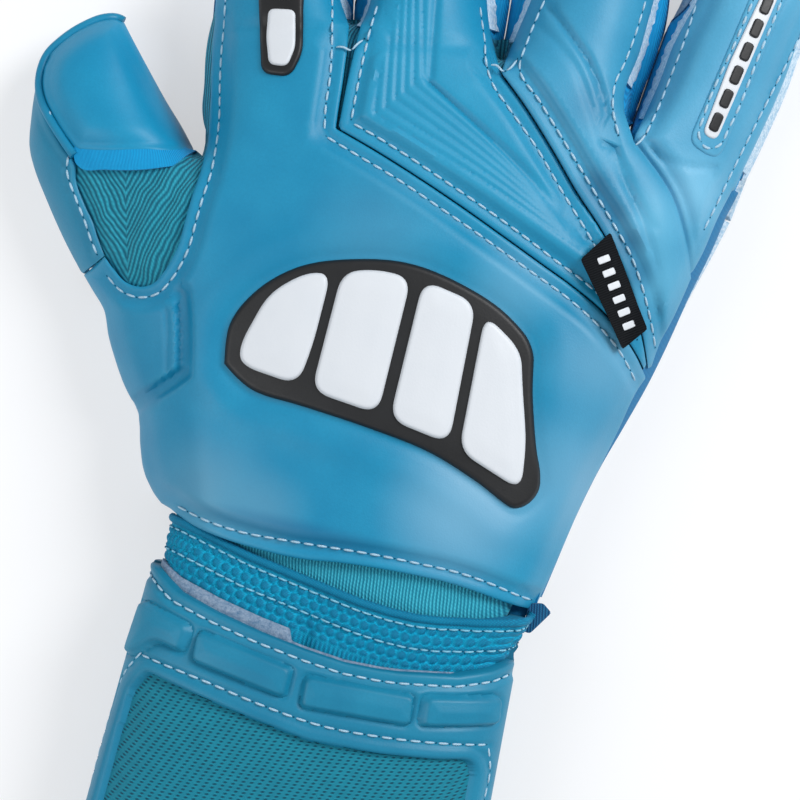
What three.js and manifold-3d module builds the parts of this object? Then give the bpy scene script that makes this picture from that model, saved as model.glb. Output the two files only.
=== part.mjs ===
// A goalkeeper's glove for the right hand, lying on its palm, as an assembly of its cut pieces.
// Millimetres. +Z is up, +Y runs from the wrist to the fingertips and +X to the little finger.
// The origin is the middle of the palm's underside, on the surface that the glove lies on.
import * as THREE from "three";
import { mergeVertices } from "three/addons/utils/BufferGeometryUtils.js";
import Module from "manifold-3d";

const wasm = await Module();
wasm.setup();

// ---- Driving sizes -------------------------------------------------------------------------

const GAP = 0.3; // left between two pieces that touch
const PALM_FOAM = 4; // latex foam of the palm and of every finger's palm side
const BACK_FOAM = 3; // embossed foam of the back of the hand and of the fingers
const GUSSET = 1.8; // stretch side walls of the fingers
const LINER = 1; // inner sleeve that carries each finger across its knuckle
const LINER_CLEARANCE = 1.9; // between that sleeve and a finger's side walls
const MESH = 1.2; // knitted mesh
const DIGIT_HEIGHT = 22; // a finger, palm foam to back foam
const DIGIT_CROWN = 3; // how far a finger's back arches across its width
const KNUCKLE_HEIGHT = 7; // the hinge line of each digit above the floor
const BACK_OVERHANG = 9; // how far a finger's back reaches behind its hinge line
const PALM_RELIEF = 5; // the palm foam stops this far from each hinge line, on either side

const CUFF_X = -4; // middle of the wrist
const SLEEVE = 1.4; // inner wrist sleeve
const SLEEVE_HALF_HEIGHT = 13.2;
const ELASTIC = 2.2; // ribbed elastic round the wrist
const STRAP_FOAM = 3.5;
const STRAP_TOP_Y = -50;
const STRAP_LENGTH = 81; // along the arm
const STRAP_UNDER = 2.1; // hook, loop and felt lie in this space under the strap

const WRIST_Y = -38; // lower edge of the back of the hand
const SLEEVE_AT_WRIST = 42.2; // the sleeve's half width at three places
const SLEEVE_AT_WAIST = 38.5;
const SLEEVE_AT_END = 41.8;

const ARCH_SQUARENESS = 4.4; // 2 would make the back of the hand half an ellipse across
const SEAM = 0.5; // slit between two back panels

const DIGITS = [
  // root: where the hinge line crosses the finger's middle. lean: degrees towards the thumb.
  { name: "index", root: [-47.4, 77], lean: 12, length: 72, width: 30 },
  { name: "middle", root: [-12, 80], lean: 10.5, length: 80, width: 29 },
  { name: "ring", root: [22.3, 79], lean: -3.5, length: 76, width: 28 },
  { name: "little", root: [54.3, 70], lean: -10.5, length: 62, width: 27 },
];
const THUMB = { root: [-70, 20], lean: 30, height: 24, inner: 14, outer: 13 };

// ---- Colours -------------------------------------------------------------------------------

const paint = (color, roughness) => new THREE.MeshStandardMaterial({ color, roughness, metalness: 0 });
const LATEX = paint(0x3f9cc6, 0.55);
const LYCRA = paint(0x0587c2, 0.8);
const KNIT = paint(0x267f93, 0.9);
const WEBBING = paint(0x1c86b4, 0.85);
const FELT = paint(0x9fb4c6, 0.95);
const BLACK_RUBBER = paint(0x1c1e21, 0.5);
const WHITE_RUBBER = paint(0xe4e8ec, 0.5);
const HOOK = paint(0x7fb6d2, 0.7);

// ---- Solids --------------------------------------------------------------------------------

function solidOf(geometry) {
  geometry.deleteAttribute("normal");
  geometry.deleteAttribute("uv");
  const merged = mergeVertices(geometry, 1e-4);
  return new wasm.Manifold(
    new wasm.Mesh({
      numProp: 3,
      vertProperties: merged.attributes.position.array,
      triVerts: new Uint32Array(merged.index.array),
    }),
  );
}

const group = new THREE.Group();

function add(name, material, solid) {
  const mesh = solid.getMesh();
  const geometry = new THREE.BufferGeometry();
  geometry.setAttribute("position", new THREE.BufferAttribute(new Float32Array(mesh.vertProperties), 3));
  geometry.setIndex(new THREE.BufferAttribute(new Uint32Array(mesh.triVerts), 1));
  geometry.computeVertexNormals();
  const node = new THREE.Mesh(geometry, material);
  node.name = name;
  group.add(node);
}

// The largest of a solid's separate bodies, once a cut has left slivers.
function largest(solid) {
  return solid.decompose().reduce((a, b) => (a.volume() > b.volume() ? a : b));
}

const outline = (points) => new THREE.Shape(points.map(([x, y]) => new THREE.Vector2(x, y)));

// A plan outline as an upright prism.
function prism(shape, low, high, curveSegments = 6) {
  const geometry = new THREE.ExtrudeGeometry(shape, { depth: high - low, bevelEnabled: false, curveSegments });
  geometry.translate(0, 0, low);
  return solidOf(geometry);
}

// Closed sections, each with as many points as the next, joined into one solid with flat ends.
function loft(sections) {
  const count = sections[0].length;
  const index = [];
  const at = (s, i) => s * count + (i % count);
  for (let s = 0; s + 1 < sections.length; s++)
    for (let i = 0; i < count; i++) {
      index.push(at(s, i), at(s, i + 1), at(s + 1, i));
      index.push(at(s, i + 1), at(s + 1, i + 1), at(s + 1, i));
    }
  const last = sections.length - 1;
  for (let i = 1; i + 1 < count; i++) {
    index.push(at(0, 0), at(0, i + 1), at(0, i));
    index.push(at(last, 0), at(last, i), at(last, i + 1));
  }
  const geometry = new THREE.BufferGeometry();
  geometry.setAttribute("position", new THREE.Float32BufferAttribute(sections.flat(2), 3));
  geometry.setIndex(index);
  const solid = solidOf(geometry);
  if (solid.volume() > 0) return solid;
  geometry.setIndex(index.map((_, k) => index[k - (k % 3) + 2 - (k % 3)]));
  return solidOf(geometry);
}

const power = (value, exponent) => Math.sign(value) * Math.abs(value) ** exponent;

// One section across the glove at y: an arch that stands on the height base.
function arch(y, left, right, base, crown, squareness = ARCH_SQUARENESS, steps = 18) {
  const middle = (left + right) / 2;
  const half = (right - left) / 2;
  const points = [];
  for (let i = 0; i <= steps; i++) {
    const turn = (Math.PI * i) / steps;
    const x = middle + half * power(Math.cos(turn), 2 / squareness);
    points.push([x, y, base + (crown - base) * power(Math.sin(turn), 2 / squareness)]);
  }
  return points;
}

// One section across the wrist at y: a flat oval.
function oval(y, halfWidth, halfHeight, squareness = 2.6, steps = 28) {
  const points = [];
  for (let i = 0; i < steps; i++) {
    const turn = (2 * Math.PI * i) / steps;
    const x = CUFF_X + halfWidth * power(Math.cos(turn), 2 / squareness);
    points.push([x, y, CUFF_Z + halfHeight * power(Math.sin(turn), 2 / squareness)]);
  }
  return points;
}

// A point list moved sideways, to the left of its direction of travel.
function sideways(points, distance) {
  return points.map((point, i) => {
    const before = points[Math.max(i - 1, 0)];
    const after = points[Math.min(i + 1, points.length - 1)];
    const along = new THREE.Vector2(after[0] - before[0], after[1] - before[1]).normalize();
    return [point[0] - along.y * distance, point[1] + along.x * distance];
  });
}

const ABOVE_ALL = 60;
const BELOW_ALL = -5;

// An upright wall along a line in plan, as wide as the slit it cuts.
function slit(points, width) {
  const shape = outline([...sideways(points, width / 2), ...sideways(points, -width / 2).reverse()]);
  return prism(shape, BELOW_ALL, ABOVE_ALL);
}

// ---- Digit frames --------------------------------------------------------------------------

// Places a point given across and along a digit into the plan of the glove.
function place({ root, lean }, across, along) {
  const turn = THREE.MathUtils.degToRad(lean);
  return [
    root[0] + across * Math.cos(turn) - along * Math.sin(turn),
    root[1] + across * Math.sin(turn) + along * Math.cos(turn),
  ];
}

function intoPlan(solid, { root, lean }) {
  return solid.rotate([0, 0, lean]).translate([root[0], root[1], 0]);
}

// The line across every finger root, set back by some distance, from the little finger to the index.
function knuckleLine(setBack, spread = 0) {
  return [...DIGITS].reverse().flatMap((digit) => [
    place(digit, digit.width / 2 + spread, -setBack),
    place(digit, -digit.width / 2 - spread, -setBack),
  ]);
}

// ---- Wrist: sleeve, elastic and strap are ovals inside each other --------------------------

const CUFF_Z = SLEEVE_HALF_HEIGHT + GAP + ELASTIC + GAP + STRAP_FOAM;
const MESH_TOP_Y = WRIST_Y + 12;
const ELASTIC_TOP_Y = WRIST_Y - GAP - 0.2;
const WAIST_Y = STRAP_TOP_Y - 4;
const ELASTIC_END_Y = STRAP_TOP_Y - 14;
const STRAP_END_Y = STRAP_TOP_Y - STRAP_LENGTH;
const STRAP_REACH = GAP + ELASTIC + GAP; // from the sleeve to the strap's inner face

const SLEEVE_SHAPE = [
  [MESH_TOP_Y, SLEEVE_AT_WRIST + 0.4],
  [WRIST_Y, SLEEVE_AT_WRIST],
  [WAIST_Y, SLEEVE_AT_WAIST],
  [STRAP_END_Y, SLEEVE_AT_END],
];

function sleeveHalfWidth(y) {
  const next = SLEEVE_SHAPE.findIndex(([at]) => at <= y);
  const [y0, a0] = SLEEVE_SHAPE[Math.max(next - 1, 0)];
  const [y1, a1] = SLEEVE_SHAPE[Math.max(next, 1)];
  return a0 + ((y - y0) / (y1 - y0)) * (a1 - a0);
}

// The sleeve's shape grown by some distance, solid, between two places along the arm.
function wristOval(grow, high, low) {
  const between = SLEEVE_SHAPE.map(([y]) => y).filter((y) => y < high && y > low);
  const places = [high, ...between, low];
  return loft(places.map((y) => oval(y, sleeveHalfWidth(y) + grow, SLEEVE_HALF_HEIGHT + grow)));
}

function wristTube(inside, outside, high, low) {
  return wristOval(outside, high, low).subtract(wristOval(inside, high + 1, low - 1));
}

const BOX_Y = [STRAP_END_Y - 5, 100];
const SIDE = 80;

// An upright block that spans the arm between two places across it.
function block(x0, x1, z0, z1, y0 = BOX_Y[0], y1 = BOX_Y[1]) {
  return prism(outline([[x0, y0], [x1, y0], [x1, y1], [x0, y1]]), z0, z1);
}

function wrist() {
  // The mesh sleeve and the bandage under the strap share one oval and meet end to end.
  add("wrist_mesh", KNIT, wristTube(-MESH, 0, MESH_TOP_Y, WAIST_Y));
  add("wrist_sleeve", WEBBING, wristTube(-SLEEVE, 0, WAIST_Y - GAP, STRAP_END_Y));
  const elastic = wristTube(GAP, GAP + ELASTIC, ELASTIC_TOP_Y, ELASTIC_END_Y);
  add("wrist_elastic", WEBBING, elastic);

  // Binding cord along the elastic's upper edge: a half ring that seats on its outside.
  const cord = 1.8;
  const cordInside = STRAP_REACH;
  const ring = wristTube(cordInside, cordInside + cord, ELASTIC_TOP_Y, ELASTIC_TOP_Y - 2 * cord);
  add("elastic_binding", LYCRA, largest(ring.subtract(block(-SIDE, SIDE, BELOW_ALL, CUFF_Z))));
}

const HOOK_THICK = 0.8;
const LOOP_THICK = STRAP_UNDER - HOOK_THICK - GAP;
const BORDER = 18; // foam border of the strap round its mesh window
const WINDOW_SIDE = 8; // side border of the window
const FELT_END_X = CUFF_X - 2; // the felt stops short of the hook patch
const HOOK_FROM_X = CUFF_X + 10;
const HOOK_DEPTH = 52; // hook and loop patches, along the arm

function strap() {
  const whole = wristTube(STRAP_REACH, STRAP_REACH + STRAP_FOAM, STRAP_TOP_Y, STRAP_END_Y);
  const upper = block(-SIDE, SIDE, CUFF_Z + GAP / 2, ABOVE_ALL);
  const lower = block(-SIDE, SIDE, BELOW_ALL, CUFF_Z - GAP / 2);
  add("strap_band", LATEX, largest(whole.intersect(lower)));

  // Mesh window in the strap's top, with a narrower plate of mesh set into it.
  const reach = SLEEVE_AT_WAIST - WINDOW_SIDE;
  const opening = (inset) =>
    block(
      CUFF_X - reach + inset,
      CUFF_X + reach - inset,
      CUFF_Z,
      ABOVE_ALL,
      STRAP_END_Y + BORDER + inset,
      STRAP_TOP_Y - BORDER - inset,
    );
  add("strap_cover", LATEX, largest(whole.intersect(upper).subtract(opening(0))));
  const plate = wristTube(STRAP_REACH, STRAP_REACH + STRAP_FOAM - 1.2, STRAP_TOP_Y, STRAP_END_Y);
  add("strap_window_mesh", KNIT, largest(plate.intersect(opening(GAP))));

  // What lies between the strap and the sleeve, below the elastic.
  const under = STRAP_REACH - GAP - STRAP_UNDER;
  const high = ELASTIC_END_Y - GAP;
  const felt = wristTube(under, under + STRAP_UNDER, high, STRAP_END_Y);
  add("strap_felt", FELT, largest(felt.intersect(upper).intersect(block(-SIDE, FELT_END_X, 0, ABOVE_ALL))));

  const patchZone = block(HOOK_FROM_X, SIDE, CUFF_Z + 3, ABOVE_ALL, high - 2 - HOOK_DEPTH, high - 2);
  const loops = wristTube(GAP, GAP + LOOP_THICK, high, STRAP_END_Y);
  const hooks = wristTube(STRAP_REACH - GAP - HOOK_THICK, STRAP_REACH - GAP, high, STRAP_END_Y);
  add("loop_patch", FELT, largest(loops.intersect(patchZone)));
  add("hook_patch", HOOK, largest(hooks.intersect(patchZone)));
}

// ---- Back of the hand ----------------------------------------------------------------------

const WRIST_SIDE = SLEEVE_AT_WRIST + 2.2 + BACK_FOAM; // half width that clears the round sleeve
const WRIST_CROWN = CUFF_Z + SLEEVE_HALF_HEIGHT + GAP + BACK_FOAM;
const ARCH_BASE = PALM_FOAM + GAP;

// [y, left, right, crown] across the back of the hand, from the wrist to the knuckles.
const HAND_SHAPE = [
  [WRIST_Y, CUFF_X - WRIST_SIDE, CUFF_X + WRIST_SIDE, WRIST_CROWN],
  [-20, -58.5, 46.5, WRIST_CROWN],
  [-8, -66, 49, WRIST_CROWN - 0.5],
  [4, -74, 51.5, WRIST_CROWN - 1],
  [14, -71, 54, WRIST_CROWN - 1.5],
  [26, -61, 57, WRIST_CROWN - 2],
  [42, -58, 61, WRIST_CROWN - 3.5],
  [56, -57 - BACK_FOAM, 63.5 + BACK_FOAM, DIGIT_HEIGHT + 6.5],
  [74, -62 - BACK_FOAM, 68 + BACK_FOAM, DIGIT_HEIGHT + 2.5],
];

function handShell() {
  const outer = loft(HAND_SHAPE.map(([y, left, right, crown]) => arch(y, left, right, ARCH_BASE, crown)));
  const inner = HAND_SHAPE.map(([y, left, right, crown]) =>
    arch(y, left + BACK_FOAM, right - BACK_FOAM, ARCH_BASE - 1, crown - BACK_FOAM),
  );
  // The hollow runs out past both ends of the shell.
  for (const point of inner[0]) point[1] -= 1;
  for (const point of inner[inner.length - 1]) point[1] += 1;
  return outer.subtract(loft(inner));
}

// Seams between the three back panels, from the finger crotches to the outer edge of the hand.
const MAIN_SEAM = [[-30.3, 90], [-28.7, 58.6], [-12.4, 53.6], [19.6, 41.9], [42, 30.7], [64, 13]];
const OUTER_SEAM = [[5.3, 95], [5.8, 80], [17, 70.5], [25.4, 63.2], [35.8, 51.3], [48.5, 37.8], [60, 16.2]];
const FAR = 120;

// Where the thumb's root opens the side of the hand.
function thumbMouth(setBack) {
  const corners = [
    place(THUMB, -40, -setBack),
    place(THUMB, THUMB.inner, -setBack),
    place(THUMB, THUMB.inner, 60),
    place(THUMB, -40, 60),
  ];
  return prism(outline(corners), BELOW_ALL, ABOVE_ALL);
}

const SIDE_STRIP = 12; // height of the flat strip down the outer edge of the hand

function backOfHand() {
  const front = outline([[FAR, -FAR], [FAR, 60], ...knuckleLine(BACK_OVERHANG + GAP, 3), [-FAR, 60], [-FAR, -FAR]]);
  const shell = handShell()
    .intersect(prism(front, BELOW_ALL, ABOVE_ALL))
    .subtract(thumbMouth(BACK_OVERHANG + GAP))
    .subtract(slit(MAIN_SEAM, SEAM))
    .subtract(slit(OUTER_SEAM, SEAM));

  // The outer edge: a strip of plain foam between the back panels and the palm.
  const edgeLine = HAND_SHAPE.map(([y, , right]) => [right - 8, y]);
  const edge = outline([[FAR, WRIST_Y - 5], [FAR, 90], ...[...edgeLine].reverse()]);
  const stripTop = ARCH_BASE + SIDE_STRIP;
  const strip = handShell()
    .intersect(prism(front, BELOW_ALL, ABOVE_ALL))
    .intersect(prism(edge, ARCH_BASE - 1, stripTop));
  add("outer_side_strip", LYCRA, largest(strip));

  const panels = shell.subtract(prism(edge, BELOW_ALL, stripTop + GAP));
  const aboveMain = outline([...MAIN_SEAM, [FAR, 13], [FAR, FAR], [-30.3, FAR]]);
  const aboveOuter = outline([...OUTER_SEAM, [FAR, 16], [FAR, FAR], [5.3, FAR]]);
  const mainSide = prism(aboveMain, BELOW_ALL, ABOVE_ALL);
  const outerSide = prism(aboveOuter, BELOW_ALL, ABOVE_ALL);
  add("back_panel", LATEX, largest(panels.subtract(mainSide)));
  add("knuckle_panel", LATEX, largest(panels.intersect(mainSide).subtract(outerSide)));
  add("outer_panel", LATEX, largest(panels.intersect(outerSide)));
}

// ---- Palm ----------------------------------------------------------------------------------

function palm() {
  const shape = outline([
    [CUFF_X - WRIST_SIDE + 2, WRIST_Y + 1],
    [CUFF_X + WRIST_SIDE - 2, WRIST_Y + 1],
    ...HAND_SHAPE.slice(1, -1).map(([y, , right]) => [right, y]),
    ...knuckleLine(PALM_RELIEF + 1),
    [-58, 42],
    [-57, 30],
    place(THUMB, THUMB.inner, -PALM_RELIEF - 1),
    place(THUMB, -THUMB.outer + 3, -PALM_RELIEF - 1),
    [-75, 3.5],
    [-66, -8],
    [-58.5, -20],
  ]);
  add("palm", LATEX, prism(shape, 0, PALM_FOAM));
}

// ---- Fingers -------------------------------------------------------------------------------

// A finger's plan, drawn in by inset, from the height back along it to a round tip.
function fingerPlan({ width, length }, inset, back) {
  const half = width / 2 - inset;
  const tip = length - inset;
  const roundness = width * 0.42;
  const shape = new THREE.Shape();
  shape.moveTo(-half, back);
  shape.lineTo(half, back);
  shape.lineTo(half, tip - roundness);
  shape.absellipse(0, tip - roundness, half, roundness, 0, Math.PI, false);
  shape.lineTo(-half, back);
  return shape;
}

// Everything above a line that climbs backwards from the palm to the back of a finger.
function rootSlope({ width }, top) {
  const shape = outline([
    [PALM_RELIEF, 0],
    [PALM_RELIEF, PALM_FOAM + GAP],
    [-BACK_OVERHANG, top],
    [-BACK_OVERHANG, ABOVE_ALL],
    [FAR, ABOVE_ALL],
    [FAR, 0],
  ]);
  const geometry = new THREE.ExtrudeGeometry(shape, { depth: width + 10, bevelEnabled: false });
  geometry.rotateX(Math.PI / 2);
  geometry.rotateZ(Math.PI / 2);
  geometry.translate(-width / 2 - 5, 0, 0);
  return solidOf(geometry);
}

// A long block whose top arches across the finger.
function crownedBlock({ width, length }, low, high, crown) {
  const section = (y) => {
    const points = [[width / 2 + 1, y, low], [-width / 2 - 1, y, low]];
    for (let i = 0; i <= 8; i++) {
      const t = -1 + i / 4;
      points.push([(t * width) / 2, y, high - crown * t * t]);
    }
    return points;
  };
  return loft([section(-BACK_OVERHANG - 8), section(length + 5)]);
}

function finger(digit) {
  const wallTop = DIGIT_HEIGHT - BACK_FOAM - DIGIT_CROWN;
  const wall = prism(fingerPlan(digit, 0, -BACK_OVERHANG), PALM_FOAM + GAP, wallTop - GAP)
    .subtract(prism(fingerPlan(digit, GUSSET, -BACK_OVERHANG - 5), 0, ABOVE_ALL))
    .intersect(rootSlope(digit, wallTop));
  const halves = [
    ["gusset_a", prism(outline([[-FAR, -FAR], [-GAP / 2, -FAR], [-GAP / 2, FAR], [-FAR, FAR]]), 0, ABOVE_ALL)],
    ["gusset_b", prism(outline([[GAP / 2, -FAR], [FAR, -FAR], [FAR, FAR], [GAP / 2, FAR]]), 0, ABOVE_ALL)],
  ];
  for (const [part, half] of halves)
    add(`${digit.name}_${part}`, LYCRA, intoPlan(largest(wall.intersect(half)), digit));

  const back = prism(fingerPlan(digit, 0, -BACK_OVERHANG), wallTop, ABOVE_ALL)
    .intersect(crownedBlock(digit, 0, DIGIT_HEIGHT, DIGIT_CROWN))
    .subtract(crownedBlock(digit, -1, DIGIT_HEIGHT - BACK_FOAM, DIGIT_CROWN));
  add(`${digit.name}_back`, LATEX, intoPlan(largest(back), digit));

  const palmSide = prism(fingerPlan(digit, 0, PALM_RELIEF), 0, PALM_FOAM);
  add(`${digit.name}_palm`, LATEX, intoPlan(palmSide, digit));

  // The liner reaches into the hand and into the finger, clear of every wall by the gap.
  const reach = BACK_OVERHANG + 4;
  const band = (inset, ends) => {
    const half = digit.width / 2 - inset;
    return outline([[-half, -ends], [half, -ends], [half, ends], [-half, ends]]);
  };
  const inset = GUSSET + GAP + LINER_CLEARANCE;
  const low = PALM_FOAM + GAP;
  const high = wallTop - GAP;
  const liner = prism(band(inset, reach), low, high).subtract(
    prism(band(inset + LINER, reach + 1), low + LINER, high - LINER),
  );
  add(`${digit.name}_liner`, KNIT, intoPlan(liner, digit));
}

// ---- Thumb ---------------------------------------------------------------------------------

// Plan of the thumb beyond its root, from the palm side of the hand round the tip.
const THUMB_TIP = [
  [-61.8, 47.3],
  [-74, 61.1],
  [-86, 74],
  [-89.3, 74.7],
  [-98.1, 67],
  [-102.3, 59.9],
  [-102.4, 52],
  [-101.5, 42.5],
  [-88, 21.2],
];
const CAP_LINE = [[-90.5, 38.5], [-62, 43]]; // lower edge of the smooth cap over the thumb's tip
const THUMB_SLEEVE_END = 22; // how far the knitted sleeve reaches along the thumb
// Across and up: the knitted sleeve where it meets the opening in the side of the hand.
const THUMB_MOUTH = [[-11, 0], [13.4, 0], [13.4, 29], [4, 27.5], [-5, 22], [-11, 14]];

function thumbPlan(back) {
  return outline([place(THUMB, -THUMB.outer, back), place(THUMB, THUMB.inner, back), ...THUMB_TIP]);
}

// The thumb's plan drawn in towards its middle by about one distance all round.
function thumbInside(back, inset) {
  const middle = [-84, 46];
  const drawn = THUMB_TIP.map(([x, y]) => {
    const away = new THREE.Vector2(x - middle[0], y - middle[1]);
    away.setLength(away.length() - inset * 1.15);
    return [middle[0] + away.x, middle[1] + away.y];
  });
  return outline([place(THUMB, -THUMB.outer + inset, back), place(THUMB, THUMB.inner - inset, back), ...drawn]);
}

function thumb() {
  const roof = THUMB.height - BACK_FOAM;
  add("thumb_palm", LATEX, prism(thumbPlan(PALM_RELIEF), 0, PALM_FOAM));

  const walls = prism(thumbPlan(PALM_RELIEF), PALM_FOAM + GAP, roof - GAP).subtract(
    prism(thumbInside(-10, GUSSET), BELOW_ALL, ABOVE_ALL),
  );
  const tip = [-93, 71];
  const divide = [place(THUMB, 0, -20), place(THUMB, 0, 20), tip, [-100, 90]];
  const outerHalf = prism(outline([...divide, [-140, 90], [-140, -20]]), BELOW_ALL, ABOVE_ALL);
  const split = walls.subtract(slit(divide, GAP));
  add("thumb_wrap", LATEX, largest(split.intersect(outerHalf)));
  add("thumb_gusset", LYCRA, largest(split.subtract(outerHalf)));

  const cap = prism(outline([...CAP_LINE, [-40, 90], [-130, 90], [-130, 50]]), BELOW_ALL, ABOVE_ALL);
  add("thumb_cap", LATEX, largest(prism(thumbPlan(0), roof, THUMB.height).intersect(cap)));

  // Knitted sleeve from the opening in the side of the hand, down into the thumb and under its cap.
  const floor = PALM_FOAM + 2 * GAP;
  const ceiling = roof - 2 * GAP;
  const left = THUMB.outer - GUSSET - 2 * GAP;
  const right = THUMB.inner - GUSSET - 2 * GAP;
  const ring = (along, points, inset) => {
    const middle = [(points[0][0] + points[1][0]) / 2, points[2][1] / 2];
    return points.map(([across, z]) => {
      const dx = Math.sign(middle[0] - across) * inset;
      const dz = Math.sign(middle[1] - z) * inset;
      return [...place(THUMB, across + dx, along), z + dz];
    });
  };
  const inThumb = (wider, inside) => [
    [-left - wider, floor],
    [inside, floor],
    [inside, ceiling],
    [4, ceiling],
    [-5, ceiling],
    [-left - wider, ceiling - 1],
  ];
  const sleeve = (inset, ends) =>
    loft([
      ring(-BACK_OVERHANG - ends, THUMB_MOUTH.map(([across, z]) => [across, Math.max(z, floor)]), inset),
      ring(PALM_RELIEF - 0.5, inThumb(0, right), inset),
      ring(THUMB_SLEEVE_END + ends, inThumb(1, THUMB.inner + 3), inset),
    ]);
  add("thumb_mesh", KNIT, largest(sleeve(0, 0).subtract(sleeve(MESH, 0.5))));
}

// ---- Rubber patches, label and pull tab ----------------------------------------------------

// Top of the back of the hand at a point, from the sections that make it.
function handHeight(x, y) {
  const next = Math.max(HAND_SHAPE.findIndex(([at]) => at >= y), 1);
  const low = HAND_SHAPE[next - 1];
  const high = HAND_SHAPE[next];
  const share = (y - low[0]) / (high[0] - low[0]);
  const [left, right, crown] = [1, 2, 3].map((k) => low[k] + share * (high[k] - low[k]));
  const t = (2 * x - left - right) / (right - left);
  return ARCH_BASE + (crown - ARCH_BASE) * (1 - Math.abs(t) ** ARCH_SQUARENESS) ** (1 / ARCH_SQUARENESS);
}

const PATCH_BASE = 1.4;
const PATCH_BLOCK = 1.2;
const HAND_MIDDLE = 15; // a height between the palm and the back of the hand

// Corners of the patch's four white blocks, in an arch from the thumb side to the outer side.
const PATCH_BLOCKS = [
  [[-38, 4], [-24, 1], [-22, 22], [-31, 18]],
  [[-21, 0], [-4, -2], [-4, 26], [-19, 23]],
  [[-1, -2.5], [13, -5], [11, 24], [-1, 26]],
  [[16, -6], [31, -12], [24, 16], [14, 22]],
];
const PATCH_RIM = [[-42, 0], [-22, -5.5], [14, -11], [36, -18], [29, 18], [12, 29], [-6, 31], [-22, 28], [-37, 21]];

// The patch follows the arch of the hand: it is cut from skins that lie over the back panel.
function rubberPatch() {
  const grown = (lift) =>
    loft(
      HAND_SHAPE.map(([y, left, right, crown]) =>
        arch(y, left - lift, right + lift, ARCH_BASE - lift, crown + lift),
      ),
    );
  const skin = (from, to) => grown(to).subtract(grown(from));
  const over = (corners) => prism(outline(corners), HAND_MIDDLE, ABOVE_ALL);
  add("back_patch_base", BLACK_RUBBER, largest(skin(GAP, GAP + PATCH_BASE).intersect(over(PATCH_RIM))));
  const low = 2 * GAP + PATCH_BASE;
  PATCH_BLOCKS.forEach((corners, i) => {
    const piece = skin(low, low + PATCH_BLOCK).intersect(over(corners));
    add(`back_patch_block_${i + 1}`, WHITE_RUBBER, largest(piece));
  });
}

// A flat strip along a finger, resting on the arch of its back.
function onFinger(digit, across, from, to, low, thick) {
  const half = across / 2;
  const top = DIGIT_HEIGHT + low;
  return intoPlan(
    crownedBlock(digit, 0, top + thick, DIGIT_CROWN)
      .subtract(crownedBlock(digit, -1, top, DIGIT_CROWN))
      .intersect(prism(outline([[-half, from], [half, from], [half, to], [-half, to]]), 0, ABOVE_ALL)),
    digit,
  );
}

const LABEL = { along: [[39.2, 49.4], [53.5, 29.5]], width: 10, thick: 1.2 };

function trim() {
  const [index, , , little] = DIGITS;
  add("index_patch_base", BLACK_RUBBER, onFinger(index, 15, -8, 24, GAP, 1.2));
  for (const [i, from] of [-6, 9].entries())
    add(`index_patch_block_${i + 1}`, WHITE_RUBBER, onFinger(index, 11, from, from + 13, 2 * GAP + 1.2, 0.9));
  add("little_badge", WHITE_RUBBER, onFinger(little, 11, 9, 46, GAP, 1.5));

  // Folded woven label, sewn into the outer seam and lying on the knuckle panel.
  const [top, bottom] = LABEL.along;
  const inward = sideways([top, bottom], -LABEL.width);
  const steps = [0, 0.2, 0.4, 0.6, 0.8, 1];
  const between = (a, b, share) => [a[0] + share * (b[0] - a[0]), a[1] + share * (b[1] - a[1])];
  const under = steps.flatMap((s) => steps.map((t) => between(between(top, bottom, s), between(...inward, s), t)));
  const level = Math.max(...under.map(([x, y]) => handHeight(x, y))) + 2 * GAP;
  add("woven_label", BLACK_RUBBER, prism(outline([top, bottom, ...inward.reverse()]), level, level + LABEL.thick));

  // Ribbon loop at the outer end of the elastic.
  const [tabHigh, tabLow] = [ELASTIC_TOP_Y - 0.5, ELASTIC_TOP_Y - 7.5];
  const side = CUFF_X + Math.max(sleeveHalfWidth(tabHigh), sleeveHalfWidth(tabLow)) + STRAP_REACH;
  const tab = outline([[side, tabLow], [side + 6, tabLow + 1.5], [side + 7.5, tabHigh], [side, tabHigh - 1]]);
  add("pull_tab", LYCRA, prism(tab, CUFF_Z - 2.7, CUFF_Z - GAP));
}

wrist();
strap();
backOfHand();
palm();
DIGITS.forEach(finger);
thumb();
rubberPatch();
trim();

export default group;
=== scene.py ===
# %% [markdown] A goalkeeper's glove for the right hand, lying on its palm. The packed CAD model is
# the frame: it fixes every place and every size, and each piece made here stands for one or more
# of its solids.

# %% Load the frame
import math
import bpy
import numpy as np
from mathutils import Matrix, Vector, geometry


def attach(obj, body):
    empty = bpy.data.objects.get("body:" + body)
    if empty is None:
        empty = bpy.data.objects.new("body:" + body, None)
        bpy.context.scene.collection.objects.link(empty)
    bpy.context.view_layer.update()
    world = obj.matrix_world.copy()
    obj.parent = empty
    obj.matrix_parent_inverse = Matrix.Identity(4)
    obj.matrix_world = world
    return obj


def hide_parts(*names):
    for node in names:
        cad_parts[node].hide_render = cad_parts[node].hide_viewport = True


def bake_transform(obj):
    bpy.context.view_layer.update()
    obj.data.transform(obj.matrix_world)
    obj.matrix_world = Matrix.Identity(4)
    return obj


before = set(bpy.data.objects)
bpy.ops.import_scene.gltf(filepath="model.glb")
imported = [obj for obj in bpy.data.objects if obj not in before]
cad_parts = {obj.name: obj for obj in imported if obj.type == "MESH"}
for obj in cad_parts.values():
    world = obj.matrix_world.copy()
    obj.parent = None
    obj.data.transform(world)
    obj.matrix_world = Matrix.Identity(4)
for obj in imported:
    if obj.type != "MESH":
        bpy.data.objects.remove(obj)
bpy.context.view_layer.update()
MM = 0.001

# %% [markdown]
# Light, camera and floor. The glove lies flat and is seen from straight above, turned 13 degrees,
# so the camera is a long lens that looks down, far enough away to keep the sides from leaning.
# A pale floor under a bright even sky keeps colours close to how they are written, and one large
# soft lamp on the side of the little finger shapes the foam and leaves a faint shadow.

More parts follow.
